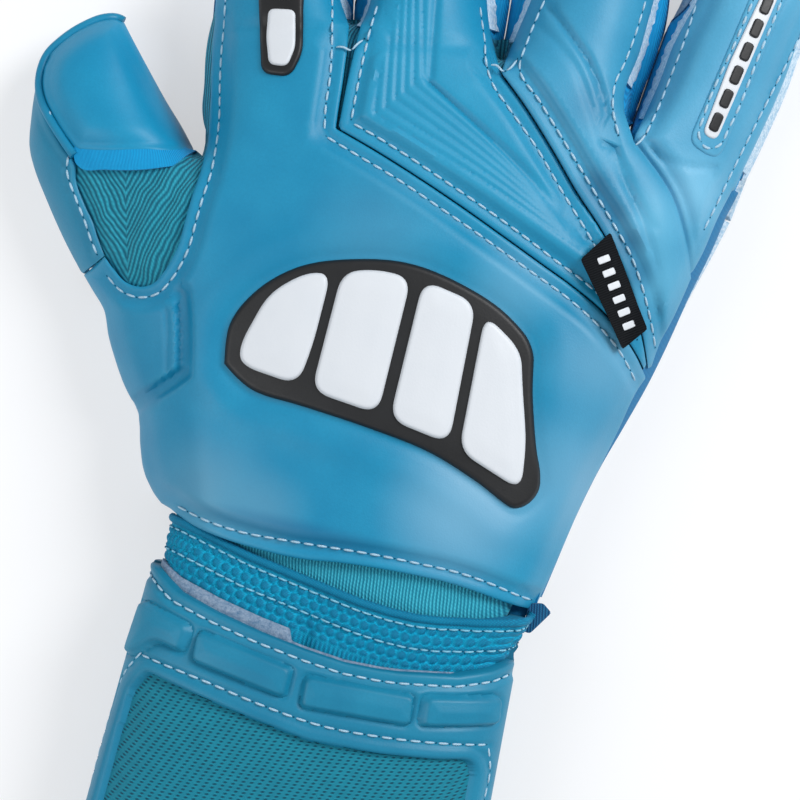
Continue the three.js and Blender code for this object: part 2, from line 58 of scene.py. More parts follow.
# %% Camera, floor and lamps
VIEW_WIDTH = 190.5
VIEW_HEIGHT = 24
LENS = 120
scene = bpy.context.scene
scene.view_settings.view_transform = "Standard"
eye = bpy.data.objects.new("eye", bpy.data.cameras.new("eye"))
eye.data.lens = LENS
eye.data.clip_end = 50
eye.location = Vector((0, 0, VIEW_HEIGHT + VIEW_WIDTH * LENS / eye.data.sensor_width)) * MM
eye.rotation_euler = (0, 0, math.radians(13))
scene.collection.objects.link(eye)
scene.camera = eye


def lamp(name, place, size, power):
    """A soft round lamp that points at the middle of the glove."""
    light = bpy.data.lights.new(name, "AREA")
    light.shape = "DISK"
    light.size = size
    light.energy = power
    holder = bpy.data.objects.new(name, light)
    holder.location = place
    holder.rotation_euler = (-Vector(place)).to_track_quat("-Z", "Y").to_euler()
    scene.collection.objects.link(holder)


lamp("window", (0.8, 0.75, 1.0), 0.7, 17)
lamp("fill", (-0.95, -0.6, 1.1), 1.0, 8)
world = bpy.data.worlds.new("sky")
world.use_nodes = True
sky = world.node_tree.nodes["Background"].inputs
sky["Color"].default_value = (0.97, 0.985, 1, 1)
sky["Strength"].default_value = 0.5
scene.world = world
print("camera at", round(eye.location.z, 3), "m")

# %% [markdown]
# Lines. Every panel of the real glove was cut from flat foam, so the lesson thinks in plan: an
# outline is a smooth line through a few corners. Blender's own curves could draw it, but plain
# numpy points can be measured, moved sideways and joined before anything becomes a mesh.

# %% Smooth lines
def lengths(line):
    """How far along a line each of its points lies."""
    return np.concatenate([[0], np.cumsum(np.linalg.norm(np.diff(line, axis=0), axis=1))])


def curve(corners, step=0.9):
    """A smooth line through corners, with a point every step millimetres."""
    knots = np.array(corners, float)
    gaps = np.linalg.norm(np.diff(knots, axis=0), axis=1)
    at = lengths(knots)
    slopes = np.gradient(knots, at, axis=0)
    where = np.linspace(0, at[-1], max(2, int(round(at[-1] / step)) + 1))
    span = np.clip(np.searchsorted(at, where, side="right") - 1, 0, len(gaps) - 1)
    t = ((where - at[span]) / gaps[span])[:, None]
    wide = gaps[span][:, None]
    line = (1 + 2 * t) * (1 - t) ** 2 * knots[span] + t * (1 - t) ** 2 * wide * slopes[span]
    return line + t**2 * (3 - 2 * t) * knots[span + 1] + t**2 * (t - 1) * wide * slopes[span + 1]


def beside(line, offset):
    """A line moved sideways, to the left of its direction."""
    ahead = np.gradient(line, axis=0)
    ahead /= np.linalg.norm(ahead, axis=1)[:, None]
    return line + np.reshape(offset, (-1, 1)) * np.stack([-ahead[:, 1], ahead[:, 0]], 1)


def outline(*parts):
    """One closed outline from smooth parts that meet in corners, running anticlockwise."""
    line = np.vstack([np.array(part, float) for part in parts])
    keep = np.linalg.norm(line - np.roll(line, 1, axis=0), axis=1) > 0.25
    line = line[keep]
    x, y = line.T
    area = np.sum(x * np.roll(y, -1) - y * np.roll(x, -1))
    return line if area > 0 else line[::-1]


def rounded(corners, radius, step=0.5):
    """A closed outline through straight sides whose corners are rounded off."""
    corners = np.array(corners, float)
    parts = []
    previous, following = np.roll(corners, 1, axis=0), np.roll(corners, -1, axis=0)
    for before, corner, after in zip(previous, corners, following):
        back, ahead = before - corner, after - corner
        back *= min(radius, np.linalg.norm(back) * 0.48) / np.linalg.norm(back)
        ahead *= min(radius, np.linalg.norm(ahead) * 0.48) / np.linalg.norm(ahead)
        t = np.linspace(0, 1, 8)[:, None]
        start, end = corner + back, corner + ahead
        parts.append((1 - t) ** 2 * start + 2 * t * (1 - t) * corner + t**2 * end)
    line = np.vstack(parts)
    line = np.vstack([line, line[:1]])
    at = lengths(line)
    where = np.linspace(0, at[-1], int(at[-1] / step))[:-1]
    return outline(np.stack([np.interp(where, at, line[:, k]) for k in (0, 1)], 1))


print("a line of 10 mm has", len(curve([(0, 0), (10, 0)])), "points")

# %% [markdown]
# Distances. What happens across a panel, such as a sewn lip or a groove, depends on how far a point
# is from a line. numpy works that out for all points at once, and two soft steps turn a distance
# into a height. Sculpting would do it too, but not in lines that can be read and changed later.

# %% Distances and soft steps
def distance(points, line, closed=False):
    """How far each point is from a line, in plan."""
    a = line if closed else line[:-1]
    b = np.roll(line, -1, axis=0) if closed else line[1:]
    best = np.full(len(points), 1e9)
    run = b - a
    length2 = np.maximum((run**2).sum(1), 1e-12)
    for low in range(0, len(points), 4000):
        p = points[low : low + 4000, None]
        t = np.clip(((p - a) * run).sum(2) / length2, 0, 1)
        best[low : low + 4000] = np.sqrt((((p - a) - t[..., None] * run) ** 2).sum(2).min(1))
    return best


def inside(points, line):
    """Which points an outline holds."""
    x, y = points[:, 0][:, None], points[:, 1][:, None]
    x0, y0 = line.T
    x1, y1 = np.roll(line, -1, axis=0).T
    with np.errstate(divide="ignore", invalid="ignore"):
        crosses = ((y0 > y) != (y1 > y)) & (x < (x1 - x0) * (y - y0) / (y1 - y0) + x0)
    return crosses.sum(1) % 2 == 1


def step_up(value, low, high):
    """0 below low, 1 above high, and a smooth rise between."""
    t = np.clip((value - low) / (high - low), 0, 1)
    return t * t * (3 - 2 * t)


def hump(value, width):
    """1 where value is 0, falling smoothly to nothing over a few widths."""
    return np.exp(-((value / width) ** 2))


print("half way up", step_up(1.5, 1, 2), "and one width from a hump", round(float(hump(1, 1)), 2))

# %% [markdown]
# The digits. Each finger has a root on its knuckle line, a lean and two edges. The edges flare
# towards the crotches, as the sewn back of a real finger does. A table of widths says it.

# %% Finger edges
# root, lean in degrees, length, then (along, across) pairs of the left and of the right edge
FINGERS = {
    "index": ((-47.4, 77), 12, 72, [(-4, -16.4), (6, -15.8), (20, -14.9), (46, -14.1)],
              [(0.4, 17), (3, 16.7), (6, 15.9), (10, 14.5), (22, 13.4), (46, 13.2)]),
    "middle": ((-12, 80), 10.5, 80, [(1, -17.6), (7, -15.9), (14, -14), (30, -13.6), (56, -13.4)],
               [(-2.5, 17.2), (4, 16.2), (9, 14.9), (15, 14), (30, 13.6), (56, 13.4)]),
    "ring": ((22.3, 79), -3.5, 76, [(1, -16.4), (4, -16.3), (10, -15.7), (20, -14.6), (52, -13.2)],
             [(0, 14.2), (4, 13), (8, 13), (14, 13.8), (24, 13.8), (52, 13)]),
    "little": ((54.3, 70), -10.5, 62, [(1, -14.6), (6, -14.2), (16, -13.9), (26, -14.3), (38, -13.4)],
               [(0, 13.2), (5, 13.2), (16, 13.6), (30, 13.6), (38, 13)]),
}


def on_finger(name, along, across):
    """A place on a finger: so far along it from its root, and so far to its right."""
    (x, y), lean = FINGERS[name][:2]
    c, s = math.cos(math.radians(lean)), math.sin(math.radians(lean))
    return (x + across * c - along * s, y + across * s + along * c)


# the line midway between two fingers: a point of it and its lean
GAPS = {("index", "middle"): ((-30.2, 79), 11.2), ("middle", "ring"): ((5.6, 82.5), 3.5),
        ("ring", "little"): ((39.6, 74), -7)}


def kept_apart(line, name, by=0.15):
    """A line pushed back wherever it would cross the middle of a gap beside its finger."""
    line = np.array(line, float)
    for pair, (start, lean) in GAPS.items():
        if name in pair:
            aside = np.array((math.cos(math.radians(lean)), math.sin(math.radians(lean))))
            toward = 1 if name == pair[0] else -1
            over = np.maximum(((line - start) @ aside) * toward + by, 0)
            line -= over[:, None] * aside * toward
    return line


# how far along a finger its web reaches, on its right and on its left
WEB_ENDS = (25, 27)


def finger_edge(name, grow=0.0, left_from=None, right_from=None, web=(0, 0)):
    """Round a finger from the foot of its right edge over the tip to the foot of its left edge."""
    length, left, right = FINGERS[name][2:]
    half, tip, blunt = grow - left[-1][1], length - 1.6 + grow, 12.5
    arc = [(tip - blunt + blunt * math.sin(a), half * math.cos(a))
           for a in np.linspace(0, math.pi, 15)]
    right = [(a, w + grow + (a < WEB_ENDS[0]) * web[0])
             for a, w in right if right_from is None or a >= right_from]
    left = [(a, w - grow - (a < WEB_ENDS[1]) * web[1])
            for a, w in left if left_from is None or a >= left_from]
    corners = right + arc[1:-1] + left[::-1]
    return kept_apart(curve([on_finger(name, a, w) for a, w in corners]), name)


print("fingers", {name: len(finger_edge(name)) for name in FINGERS})

# %% [markdown]
# The height of the back. A stuffed glove is high in the middle of each digit and of the hand and
# falls steeply at the rim. A closed form gives that without simulation: the rim's segments, seen
# from a point, are averaged into one smooth distance, which is small at the rim and grows towards
# the middle. A power of it is the crown of the foam. One field serves every panel, so neighbours
# meet at the same height, and the seams are only cuts in it.

# %% Rim and height field
RIM_BEYOND = 2.6
RIM = outline(
    curve([
        (42, -150), (42, -60), (43, -50), (45, -41), (46.9, -31), (49.2, -18), (52.2, -5.4), (55.5, 6),
        (58.6, 17.1), (60.8, 26.6), (63.4, 39.9), (66.2, 51.8), (67.9, 62)], 3),
    finger_edge("little", RIM_BEYOND, left_from=15)[::3], [(39, 77.5)],
    finger_edge("ring", RIM_BEYOND, left_from=10, right_from=13)[::3], [(5.4, 85.5)],
    finger_edge("middle", RIM_BEYOND, left_from=14, right_from=9)[::3], [(-31.4, 86)],
    finger_edge("index", RIM_BEYOND, left_from=5, right_from=10)[::3],
    curve([(-67.3, 73), (-65.6, 63), (-63.5, 55), (-61.6, 50.6)], 2), [(-60.6, 48.6)],
    curve([
        (-63, 48.8), (-73, 59.6), (-86, 75.4), (-88, 76), (-91, 75.2), (-95.8, 72.1), (-100.4, 67.3),
        (-103.4, 62.6), (-104.2, 59.2), (-104, 53.2), (-103.4, 47.1), (-101.9, 38.8), (-100.1, 35.3),
        (-95.2, 27.9), (-88.2, 18.5), (-82.8, 12.2), (-75.3, 4.4), (-73.2, -0.6), (-70.3, -5.9),
        (-66.7, -11.6), (-61.6, -18), (-59.3, -25.5), (-56.9, -31.4), (-53.6, -35.7), (-50.8, -40),
        (-49.8, -50), (-50, -150)], 3),
)
RIM_LEVEL = 4.5
CROWN = 8.0
CROWN_POWER = 0.416


def reach(points):
    """A smooth distance from the rim: true close to it, and half the true one along a strip."""
    total = np.zeros(len(points))
    for low in range(0, len(points), 3000):
        a = RIM[None] - points[low : low + 3000, None]
        b = np.roll(a, -1, axis=1)
        ra, rb = np.linalg.norm(a, axis=2) + 1e-9, np.linalg.norm(b, axis=2) + 1e-9
        turn = a[..., 0] * b[..., 1] - a[..., 1] * b[..., 0]
        facing = ra * rb + (a * b).sum(2) + 1e-9
        total[low : low + 3000] = (turn / facing * (1 / ra + 1 / rb)).sum(1)
    return np.where(total > 0, 2 / np.maximum(total, 1e-6), 0).clip(0, 60)


def height(points):
    """Level of the foam's outer face over the floor."""
    points = np.asarray(points, float)
    far = reach(points)
    wrist = 1.7 * (1 - step_up(points[:, 1], -38, -10))
    hand = 1 - step_up(points[:, 1], 50, 74)
    shoulder = 2.8 * step_up(far, 1.2, 6.5) * (1 - step_up(far, 12, 24)) * hand
    shoulder *= step_up(points[:, 0], -60, -40)
    return RIM_LEVEL + CROWN * far**CROWN_POWER + wrist + shoulder


print("heights", height([(-4, 0), (-47.4, 90), (-85, 55), (-4, -38)]).round(1), "rim", len(RIM))

# %% [markdown]
# Meshes. A cut panel is a slab: a top and an underside with one outline, closed by a wall. Rows of
# points follow the edge, so that lips and rounded edges come out clean, and an even grid fills the
# rest. The triangles come from Blender's own constrained triangulation. The alternative, a
# subdivided plane with a cut-out, leaves a stepped edge, and an edge is what a sewn panel shows.

# %% Mesh makers
def make(name, points, faces, finishes, material_of=None, crease=48):
    """A smooth-shaded mesh object from millimetre points."""
    mesh = bpy.data.meshes.new(name)
    mesh.from_pydata((np.asarray(points, float) * MM).tolist(), [], faces)
    for finish in finishes:
        mesh.materials.append(finish)
    if material_of is not None:
        mesh.polygons.foreach_set("material_index", np.asarray(material_of, np.int32))
    mesh.polygons.foreach_set("use_smooth", np.ones(len(mesh.polygons), bool))
    mesh.set_sharp_from_angle(angle=math.radians(crease))
    mesh.update()
    piece = bpy.data.objects.new(name, mesh)
    scene.collection.objects.link(piece)
    return piece


def inset(edge, by, keep=0.9):
    """An outline drawn in by some millimetres, without the points that come too near the old one."""
    ahead = np.roll(edge, -1, axis=0) - np.roll(edge, 1, axis=0)
    inward = np.stack([-ahead[:, 1], ahead[:, 0]], 1) / np.linalg.norm(ahead, axis=1)[:, None]
    moved = edge + inward * by
    return moved[distance(moved, edge, True) > keep * by]


def fill(edge, rows, pitch):
    """Triangles inside an outline, with rows of points that follow it and a grid beyond them."""
    found = [inset(edge, row, 0.94) for row in rows]
    low, high = edge.min(0), edge.max(0)
    across = np.arange(low[0], high[0], pitch)
    up = np.arange(low[1], high[1], pitch * 0.866)
    grid = np.array([(x + pitch / 2 * (j % 2), y) for j, y in enumerate(up) for x in across])
    grid = grid[inside(grid, edge)] if len(grid) else np.zeros((0, 2))
    if len(grid):
        grid = grid[distance(grid, edge, True) > (rows[-1] if len(rows) else 0) + pitch * 0.55]
    points = np.vstack([edge] + found + [grid])
    cut = geometry.delaunay_2d_cdt([Vector(p) for p in points], [], [list(range(len(edge)))], 1, 1e-4)
    made = np.array([tuple(v) for v in cut[0]])
    index = {old: new for new, olds in enumerate(cut[3]) for old in olds}
    return made, [tuple(face) for face in cut[2]], [index[i] for i in range(len(edge))]


FINE_ROWS = (0.15, 0.4, 0.8, 1.3, 1.9, 2.5, 3.2, 4, 4.9, 5.9, 7)
EDGE_ROWS = (0.15, 0.4, 0.8, 1.3, 1.9, 2.6, 3.5)


def slab(name, edge, top, bottom, finish, rows=EDGE_ROWS, pitch=1.2, under_finish=None):
    """A closed piece of sheet stuff: top and bottom are functions of plan points."""
    upper, upper_faces, rim = fill(edge, rows, pitch)
    lower, lower_faces, low_rim = fill(edge, (), pitch * 3)
    high = np.column_stack([upper, top(upper)])
    low = np.column_stack([lower, bottom(lower)])
    low[low_rim, 2] = np.minimum(low[low_rim, 2], high[rim, 2] - 0.15)
    count, size = len(edge), len(high)
    faces = list(upper_faces) + [tuple(size + i for i in face[::-1]) for face in lower_faces]
    for i in range(count):
        j = (i + 1) % count
        faces.append((rim[i], size + low_rim[i], size + low_rim[j], rim[j]))
    kinds = [0] * len(upper_faces) + [1] * len(lower_faces) + [0] * count
    return make(name, np.vstack([high, low]), faces, [finish, under_finish or finish], kinds)


print("a slab's edge has", len(EDGE_ROWS), "rows of points, and a main panel's", len(FINE_ROWS))

# %% [markdown]
# Cords. Thread, piping and seams are round cords along a line. A curve object with a bevel is the
# usual way. Here it is a mesh tube, so that a hundred stitches with thin ends can be one object.

# %% Cord maker
def tube(line, radius, sides=8):
    """Points and faces of a closed round cord along a line of 3-D points."""
    line = np.asarray(line, float)
    radius = np.broadcast_to(radius, len(line))
    ahead = np.gradient(line, axis=0)
    ahead /= np.linalg.norm(ahead, axis=1)[:, None] + 1e-9
    side = np.cross(ahead, (0, 0, 1.0))
    side /= np.linalg.norm(side, axis=1)[:, None] + 1e-9
    up = np.cross(side, ahead)
    turn = np.arange(sides) * 2 * math.pi / sides
    ring = np.cos(turn)[None, :, None] * side[:, None] + np.sin(turn)[None, :, None] * up[:, None]
    points = (line[:, None] + ring * radius[:, None, None]).reshape(-1, 3)
    faces = []
    for i in range(len(line) - 1):
        for k in range(sides):
            m = (k + 1) % sides
            faces.append((i * sides + k, i * sides + m, (i + 1) * sides + m, (i + 1) * sides + k))
    last = (len(line) - 1) * sides
    faces.append(tuple(range(sides))[::-1])
    faces.append(tuple(last + k for k in range(sides)))
    return points, faces


def joined(parts):
    """Several point and face lists as one."""
    points, faces, start = [], [], 0
    for part_points, part_faces in parts:
        points.append(part_points)
        faces += [tuple(start + i for i in face) for face in part_faces]
        start += len(part_points)
    return np.vstack(points), faces


print("a short cord has", len(tube([(0, 0, 0), (1, 0, 0)], 0.5)[1]), "faces")

# %% [markdown]
# Stitches. Lockstitch shows as short bars of thread that rise from one needle hole, lie on the foam
# and dive into the next. Each bar is a small arched cord whose ends sink below the face. A texture
# of dashes would be quicker, but it casts no shadow and the seam is what the eye checks first.

# %% Stitch maker
STITCH_PITCH = 3.1
STITCH_LENGTH = 2.5
THREAD = 0.26
# seven places along a stitch, from its one end to its other
BAR = np.linspace(-1, 1, 7)


def hole_shade(centre, radius=0.24):
    """A small dark lens of painted shade, flush with the face, where the thread dives into the needle hole.
    """
    turn = np.arange(6) * math.pi / 3
    ring = np.stack([np.cos(turn) * radius, np.sin(turn) * radius, 0 * turn], 1)
    points = centre + np.vstack([ring, [(0, 0, 0.1), (0, 0, -0.3)]])
    faces = [(k, (k + 1) % 6, 6) for k in range(6)] + [((k + 1) % 6, k, 7) for k in range(6)]
    return points, faces


def bars_and_holes(name, lines, thread, finish):
    """A bar of thread along each short line of 3-D points on a face, and a dark lens of painted needle-hole
    shade past its end.
    """
    parts, kinds = [], []
    for line in lines:
        bar = line.copy()
        bar[:, 2] += 0.27 - 0.7 * np.abs(BAR) ** 4
        parts.append(tube(bar, thread * (1.08 - 0.45 * np.abs(BAR) ** 3), 6))
        kinds += [0] * len(parts[-1][1])
        past = line[-1] + (line[-1] - line[-2]) * 0.7
        parts.append(hole_shade(past + (0, 0, 0.06)))
        kinds += [1] * 12
    return make(name, *joined(parts), [finish, PAINTED_HOLE_SHADE], kinds, crease=80)


def bars_along(line, pitch, length):
    """Short lines, evenly spaced, cut out of one long line."""
    at = lengths(line)
    count = max(1, int(at[-1] / pitch))
    bars = []
    for middle in (np.arange(count) + 0.5) * at[-1] / count:
        where = middle + BAR * length / 2
        bars.append(np.stack([np.interp(where, at, values) for values in line.T], 1))
    return bars


def sew(name, lines, top, pitch=STITCH_PITCH, length=STITCH_LENGTH, thread=THREAD):
    """Bars of thread along plan lines, laid on the face that top() gives."""
    plans = [bar for line in lines for bar in bars_along(line, pitch, length)]
    level = top(np.vstack(plans)).reshape(-1, len(BAR))
    bars = [np.column_stack([plan, z]) for plan, z in zip(plans, level)]
    return bars_and_holes(name, bars, thread, THREAD_PALE)


# %% [markdown]
# What bends. A real finger of foam bends over a stretch of its length, and it stays in one piece.
# So a panel is not cut at the knuckle: it is shared between the hand and the finger. Here a piece
# that bends with a digit only has its place baked into its points, and parts that stay stiff simply
# ride on a body.

# %% Riding, and baking the places of what bends
def declare(piece, nodes=(), body="hand", bend=None):
    """Attach a piece to the body it rides on, or only bake the place of a piece that bends; hide the solids
    that it stands for.
    """
    if bend:
        bending_body = "thumb" if bend == "thumb" else bend + "_finger"
        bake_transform(piece)
    else:
        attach(piece, body)
    if nodes:
        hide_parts(*nodes)
    print(piece.name, len(piece.data.vertices), "points")


for digit in FINGERS:
    behind, before = on_finger(digit, -10, 0), on_finger(digit, 6, 0)
    Vector((*behind, 7)) * MM
    Vector((*before, 7)) * MM

# %% [markdown]
# Finishes. Shader arithmetic reads best as Python, so one small class wraps a socket and turns an
# expression into Math nodes, and one method makes every other node. Colours are written as the
# plain 0 to 255 numbers of a paint chart and turned into the linear light that shaders use.

# %% Node helpers
def tint(red, green, blue, bright=1.0):
    """A paint chart colour as linear light."""
    values = [min(v * bright / 255, 1) for v in (red, green, blue)]
    return tuple(v / 12.92 if v <= 0.04045 else ((v + 0.055) / 1.055) ** 2.4 for v in values) + (1,)


class Wire:
    """A value that flows between nodes."""

    def __init__(self, finish, socket):
        self.finish = finish
        self.socket = socket

    def maths(self, operation, *others, flipped=False):
        values = (others + (self,)) if flipped else (self,) + others
        return self.finish.node("ShaderNodeMath", {"operation": operation}, dict(enumerate(values)))

    def __add__(self, other):
        return self.maths("ADD", other)

    def __sub__(self, other):
        return self.maths("SUBTRACT", other)

    def __rsub__(self, other):
        return self.maths("SUBTRACT", other, flipped=True)

    def __mul__(self, other):
        return self.maths("MULTIPLY", other)

    def __pow__(self, other):
        return self.maths("POWER", other)

    __radd__ = __add__
    __rmul__ = __mul__

    def clamped(self):
        return self.maths("MINIMUM", 1.0).maths("MAXIMUM", 0.0)

    def wave(self, pitch):
        """0 to 1 and back over each pitch millimetres of this length in metres."""
        return (self * (2 * math.pi / (pitch * MM))).maths("SINE") * 0.5 + 0.5


print("a deep blue in linear light", [round(v, 3) for v in tint(4, 134, 178)])

# %% [markdown]
# A finish is a material with one Principled shader and the nodes that vary it. Its methods are the
# few things that cloth and foam need: soft noise, a mix of two colours, roughness and small bumps.

# %% Finish maker
class Finish:
    """A material with one Principled shader, and the nodes that vary it."""

    def __init__(self, name, roughness=0.5, sheen=0.0, specular=0.4):
        self.material = bpy.data.materials.new(name)
        self.material.use_nodes = True
        self.tree = self.material.node_tree
        self.shader = self.tree.nodes["Principled BSDF"]
        self.shader.inputs["Roughness"].default_value = roughness
        self.shader.inputs["Sheen Weight"].default_value = sheen * 0.3
        self.shader.inputs["Sheen Roughness"].default_value = 0.45
        self.shader.inputs["Specular IOR Level"].default_value = specular
        self.place = self.node("ShaderNodeTexCoord", output="Object")
        self.x, self.y, self.z = (self.split(self.place, axis) for axis in "XYZ")

    def node(self, kind, settings=None, values=None, output=0):
        node = self.tree.nodes.new(kind)
        for key, value in (settings or {}).items():
            setattr(node, key, value)
        for key, value in (values or {}).items():
            if isinstance(value, Wire):
                self.tree.links.new(value.socket, node.inputs[key])
            else:
                node.inputs[key].default_value = value
        return Wire(self, node.outputs[output])

    def split(self, vector, axis):
        return self.node("ShaderNodeSeparateXYZ", values={0: vector}, output=axis)

    def noise(self, size, detail=3.0, rough=0.5):
        """Soft random values with features of about size millimetres."""
        values = {"Vector": self.place, "Scale": 1 / (size * MM), "Detail": detail, "Roughness": rough}
        return self.node("ShaderNodeTexNoise", values=values)

    def mix(self, share, first, second):
        values = {0: share, 6: first, 7: second}
        return self.node("ShaderNodeMix", {"data_type": "RGBA"}, values, output=2)

    def color(self, wire):
        self.tree.links.new(wire.socket, self.shader.inputs["Base Color"])

    def rough(self, wire):
        self.tree.links.new(wire.socket, self.shader.inputs["Roughness"])

    def bump(self, wire, depth):
        """Small relief, depth millimetres deep."""
        values = {"Strength": 1.0, "Distance": depth * MM, "Height": wire}
        normal = self.node("ShaderNodeBump", values=values)
        self.tree.links.new(normal.socket, self.shader.inputs["Normal"])

    def near(self, x, y, reach):
        """1 at a place in plan and 0 beyond its reach, or its two reaches, all in millimetres."""
        wide, tall = (float(v) for v in np.broadcast_to(reach, 2))
        aside = (self.x - x * MM) * (1 / (wide * MM))
        along = (self.y - y * MM) * (1 / (tall * MM))
        return (1 - (aside * aside + along * along)).clamped()

    def convex(self):
        """0.5 on flat faces, more on rounded convex edges and less in hollows."""
        return self.node("ShaderNodeNewGeometry", output="Pointiness")


print("finish methods", [name for name in vars(Finish) if not name.startswith("_")])

# %% [markdown]
# Latex foam is matt and fine-grained. It is never one blue: it is paler on convex edges, painted
# shade darkens it where it is pressed into a seam or a crease, and broad soft clouds come from uneven
# dye. Each panel gets its own base blue, and the recipe is the same. Some panels also have soft
# places of painted highlight, painted sheen and painted shade, each with its middle, its reach, its
# strength and the change that it makes to the blue.

# %% Foam
# Colour changes of the soft places: a painted highlight, a greyish painted sheen, a paler painted highlight
# and painted shade.
PAINTED_HIGHLIGHT = (112, 36, 22)
PAINTED_SHEEN = (88, 12, -4)
PAINTED_PALE_HIGHLIGHT = (66, 40, 30)
PAINTED_SHADE = (-46, -50, -50)


def foam(name, base, grain=0.06, places=()):
    finish = Finish(name, roughness=0.5, specular=0.36)
    deep = 0.94
    clouds = finish.noise(46, 2.0) * 0.7 + finish.noise(9, 3.0) * 0.3
    share = ((clouds - 0.36) * 2.6).clamped()
    body = finish.mix(share, tint(*base, deep), tint(*[v * 0.88 + 24 for v in base], 1.02))
    speck = ((finish.noise(0.55, 2.0) - 0.5) * 0.9 + 0.16).clamped()
    body = finish.mix(speck * 0.5, body, tint(*base, deep * 0.86))
    # Soft places of painted highlight, painted sheen and painted shade.
    for x, y, reach, strength, change in places:
        painted_spot = finish.near(x, y, reach)
        changed = tint(*[max(v + c, 0) for v, c in zip(base, change)])
        body = finish.mix(painted_spot * painted_spot * strength, body, changed)
    # Paler on convex, rounded edges.
    convex_paler = ((finish.convex() - 0.505) * 7).clamped()
    # Painted shade in hollows and creases, where the face curves inward.
    pressed = ((0.492 - finish.convex()) * 9).clamped()
    body = finish.mix(convex_paler * 0.35, body, tint(*[v * 0.7 + 62 for v in base]))
    finish.color(finish.mix(pressed * 0.5, body, tint(*base, 0.66)))
    finish.rough(0.4 + finish.noise(14, 3.0) * 0.14)
    finish.bump(finish.noise(0.42, 3.0) * 0.6 + finish.noise(1.7, 3.0) * 0.4, grain)
    return finish.material


# The soft places below are painted highlights, painted sheen and painted shade on the main, outer and little
# panels.
MAIN_FOAM = foam("latex_main", (4, 134, 178), places=[
    (-38, -30.5, 19, 0.62, PAINTED_SHEEN), (-24, -32, 12, 0.4, PAINTED_SHEEN), (-14, 36, 22, 0.26, PAINTED_SHEEN),
    (20, -22, 23, 0.72, PAINTED_HIGHLIGHT), (44, -9, 22, 0.55, PAINTED_HIGHLIGHT), (45, 19, 18, 0.5, PAINTED_HIGHLIGHT),
    (20, 32, 15, 0.36, PAINTED_HIGHLIGHT), (-14, -35.2, (34, 3.8), 0.55, PAINTED_SHADE)])
KNUCKLE_FOAM = foam("latex_knuckle", (8, 136, 180))
OUTER_FOAM = foam("latex_outer", (43, 143, 185), places=[
    (48, 54, 12, 0.55, PAINTED_PALE_HIGHLIGHT), (54, 42, 11, 0.45, PAINTED_PALE_HIGHLIGHT),
    (34, 59, 7, 0.7, PAINTED_SHADE), (39, 54, 7, 0.7, PAINTED_SHADE), (44, 48, 6, 0.7, PAINTED_SHADE),
    (48, 42, 6, 0.6, PAINTED_SHADE), (29, 78, 9, 0.35, PAINTED_SHADE)])
LITTLE_FOAM = foam("latex_little", (68, 156, 196), places=[(57, 64, 12, 0.5, PAINTED_PALE_HIGHLIGHT)])
THUMB_FOAM = foam("latex_thumb", (0, 138, 184))
WRAP_FOAM = foam("latex_wrap", (4, 124, 164))
STRAP_FOAM = foam("latex_strap", (2, 122, 160))
PALM_FOAM = foam("latex_palm", (84, 162, 200), grain=0.12)
print("foam finishes", len(bpy.data.materials))

# %% [markdown]
# The foam's cut edge shows its open cells, almost white with a cold tint. Thread is pale too, with
# a twist along it. Both are small, and they carry much of the contrast.

# %% Cut edge and thread
def cut_edge():
    finish = Finish("foam_cut_edge", roughness=0.75, specular=0.25)
    cells = finish.noise(0.8, 4.0, 0.7)
    share = ((cells - 0.38) * 3).clamped()
    finish.color(finish.mix(share, tint(150, 188, 214), tint(226, 235, 242)))
    finish.bump(cells, 0.25)
    return finish.material


def thread(name, dark, pale):
    finish = Finish(name, roughness=0.55, sheen=0.2, specular=0.4)
    twist = (finish.x + finish.y * 0.9 + finish.z * 0.7).wave(0.32)
    finish.color(finish.mix(twist * 0.7 + finish.noise(6) * 0.3, dark, pale))
    finish.bump(twist, 0.05)
    return finish.material


# Painted shade of the needle holes, as small dark discs past the ends of the stitches.
def hole_shade_finish():
    finish = Finish("hole_shade", roughness=0.8, specular=0.1)
    finish.color(finish.mix(finish.noise(0.5), tint(6, 60, 88), tint(18, 84, 114)))
    finish.bump(finish.noise(0.4), 0.05)
    return finish.material


CUT_EDGE = cut_edge()
THREAD_PALE = thread("sewing_thread", tint(128, 180, 208), tint(190, 215, 230))
THREAD_CYAN = thread("sewing_thread_elastic", tint(84, 170, 202), tint(150, 206, 226))
PAINTED_HOLE_SHADE = hole_shade_finish()
print("with thread", len(bpy.data.materials))

# %% [markdown]
# Knits. The air mesh of the thumb, the wrist and the strap is teal with ribs about a millimetre
# apart, each a row of looped knots with dark holes between. Lycra is a much finer, brighter knit
# with a silky sheen. Sines of position draw both, so no image has to be wrapped over the cloth.

# %% Mesh, lycra and webbing
def knit(name, deep, light, pitch, loop, turn, depth=0.3, dashed=False, gather=None):
    """Ribs at a pitch and loops along them, in millimetres, turned by some degrees."""
    finish = Finish(name, roughness=0.72, sheen=0.25, specular=0.25)
    c, s = math.cos(math.radians(turn)), math.sin(math.radians(turn))
    across = finish.x * c + finish.y * s + finish.z * 0.35
    along = finish.y * c - finish.x * s
    if gather is not None:
        other = gather * MM - finish.x * 0.731 - finish.y * 0.682
        across = across.maths("MAXIMUM", other) + finish.noise(11, 2.0) * 0.0035
    wander = finish.noise(7, 2.0) * 0.0006
    ribs = (across + wander).wave(pitch)
    loops = (along + across * 0.6).wave(loop)
    holes = ((1 - ribs) ** 1.5) * (0.45 + loops * 0.55)
    if dashed:
        holes = ((1 - ribs) ** 1.3) * (loops ** 1.6)
        ribs = 0.75 - holes
    share = (ribs * 0.62 + loops * ribs * 0.3 + finish.noise(3, 4.0) * 0.32 - holes * 0.25).clamped()
    finish.color(finish.mix(share, tint(*deep), tint(*light)))
    finish.rough(0.62 + finish.noise(1.2) * 0.25)
    finish.bump(ribs * 0.7 + loops * 0.22 + finish.noise(0.35, 2.0) * 0.18, depth)
    return finish.material


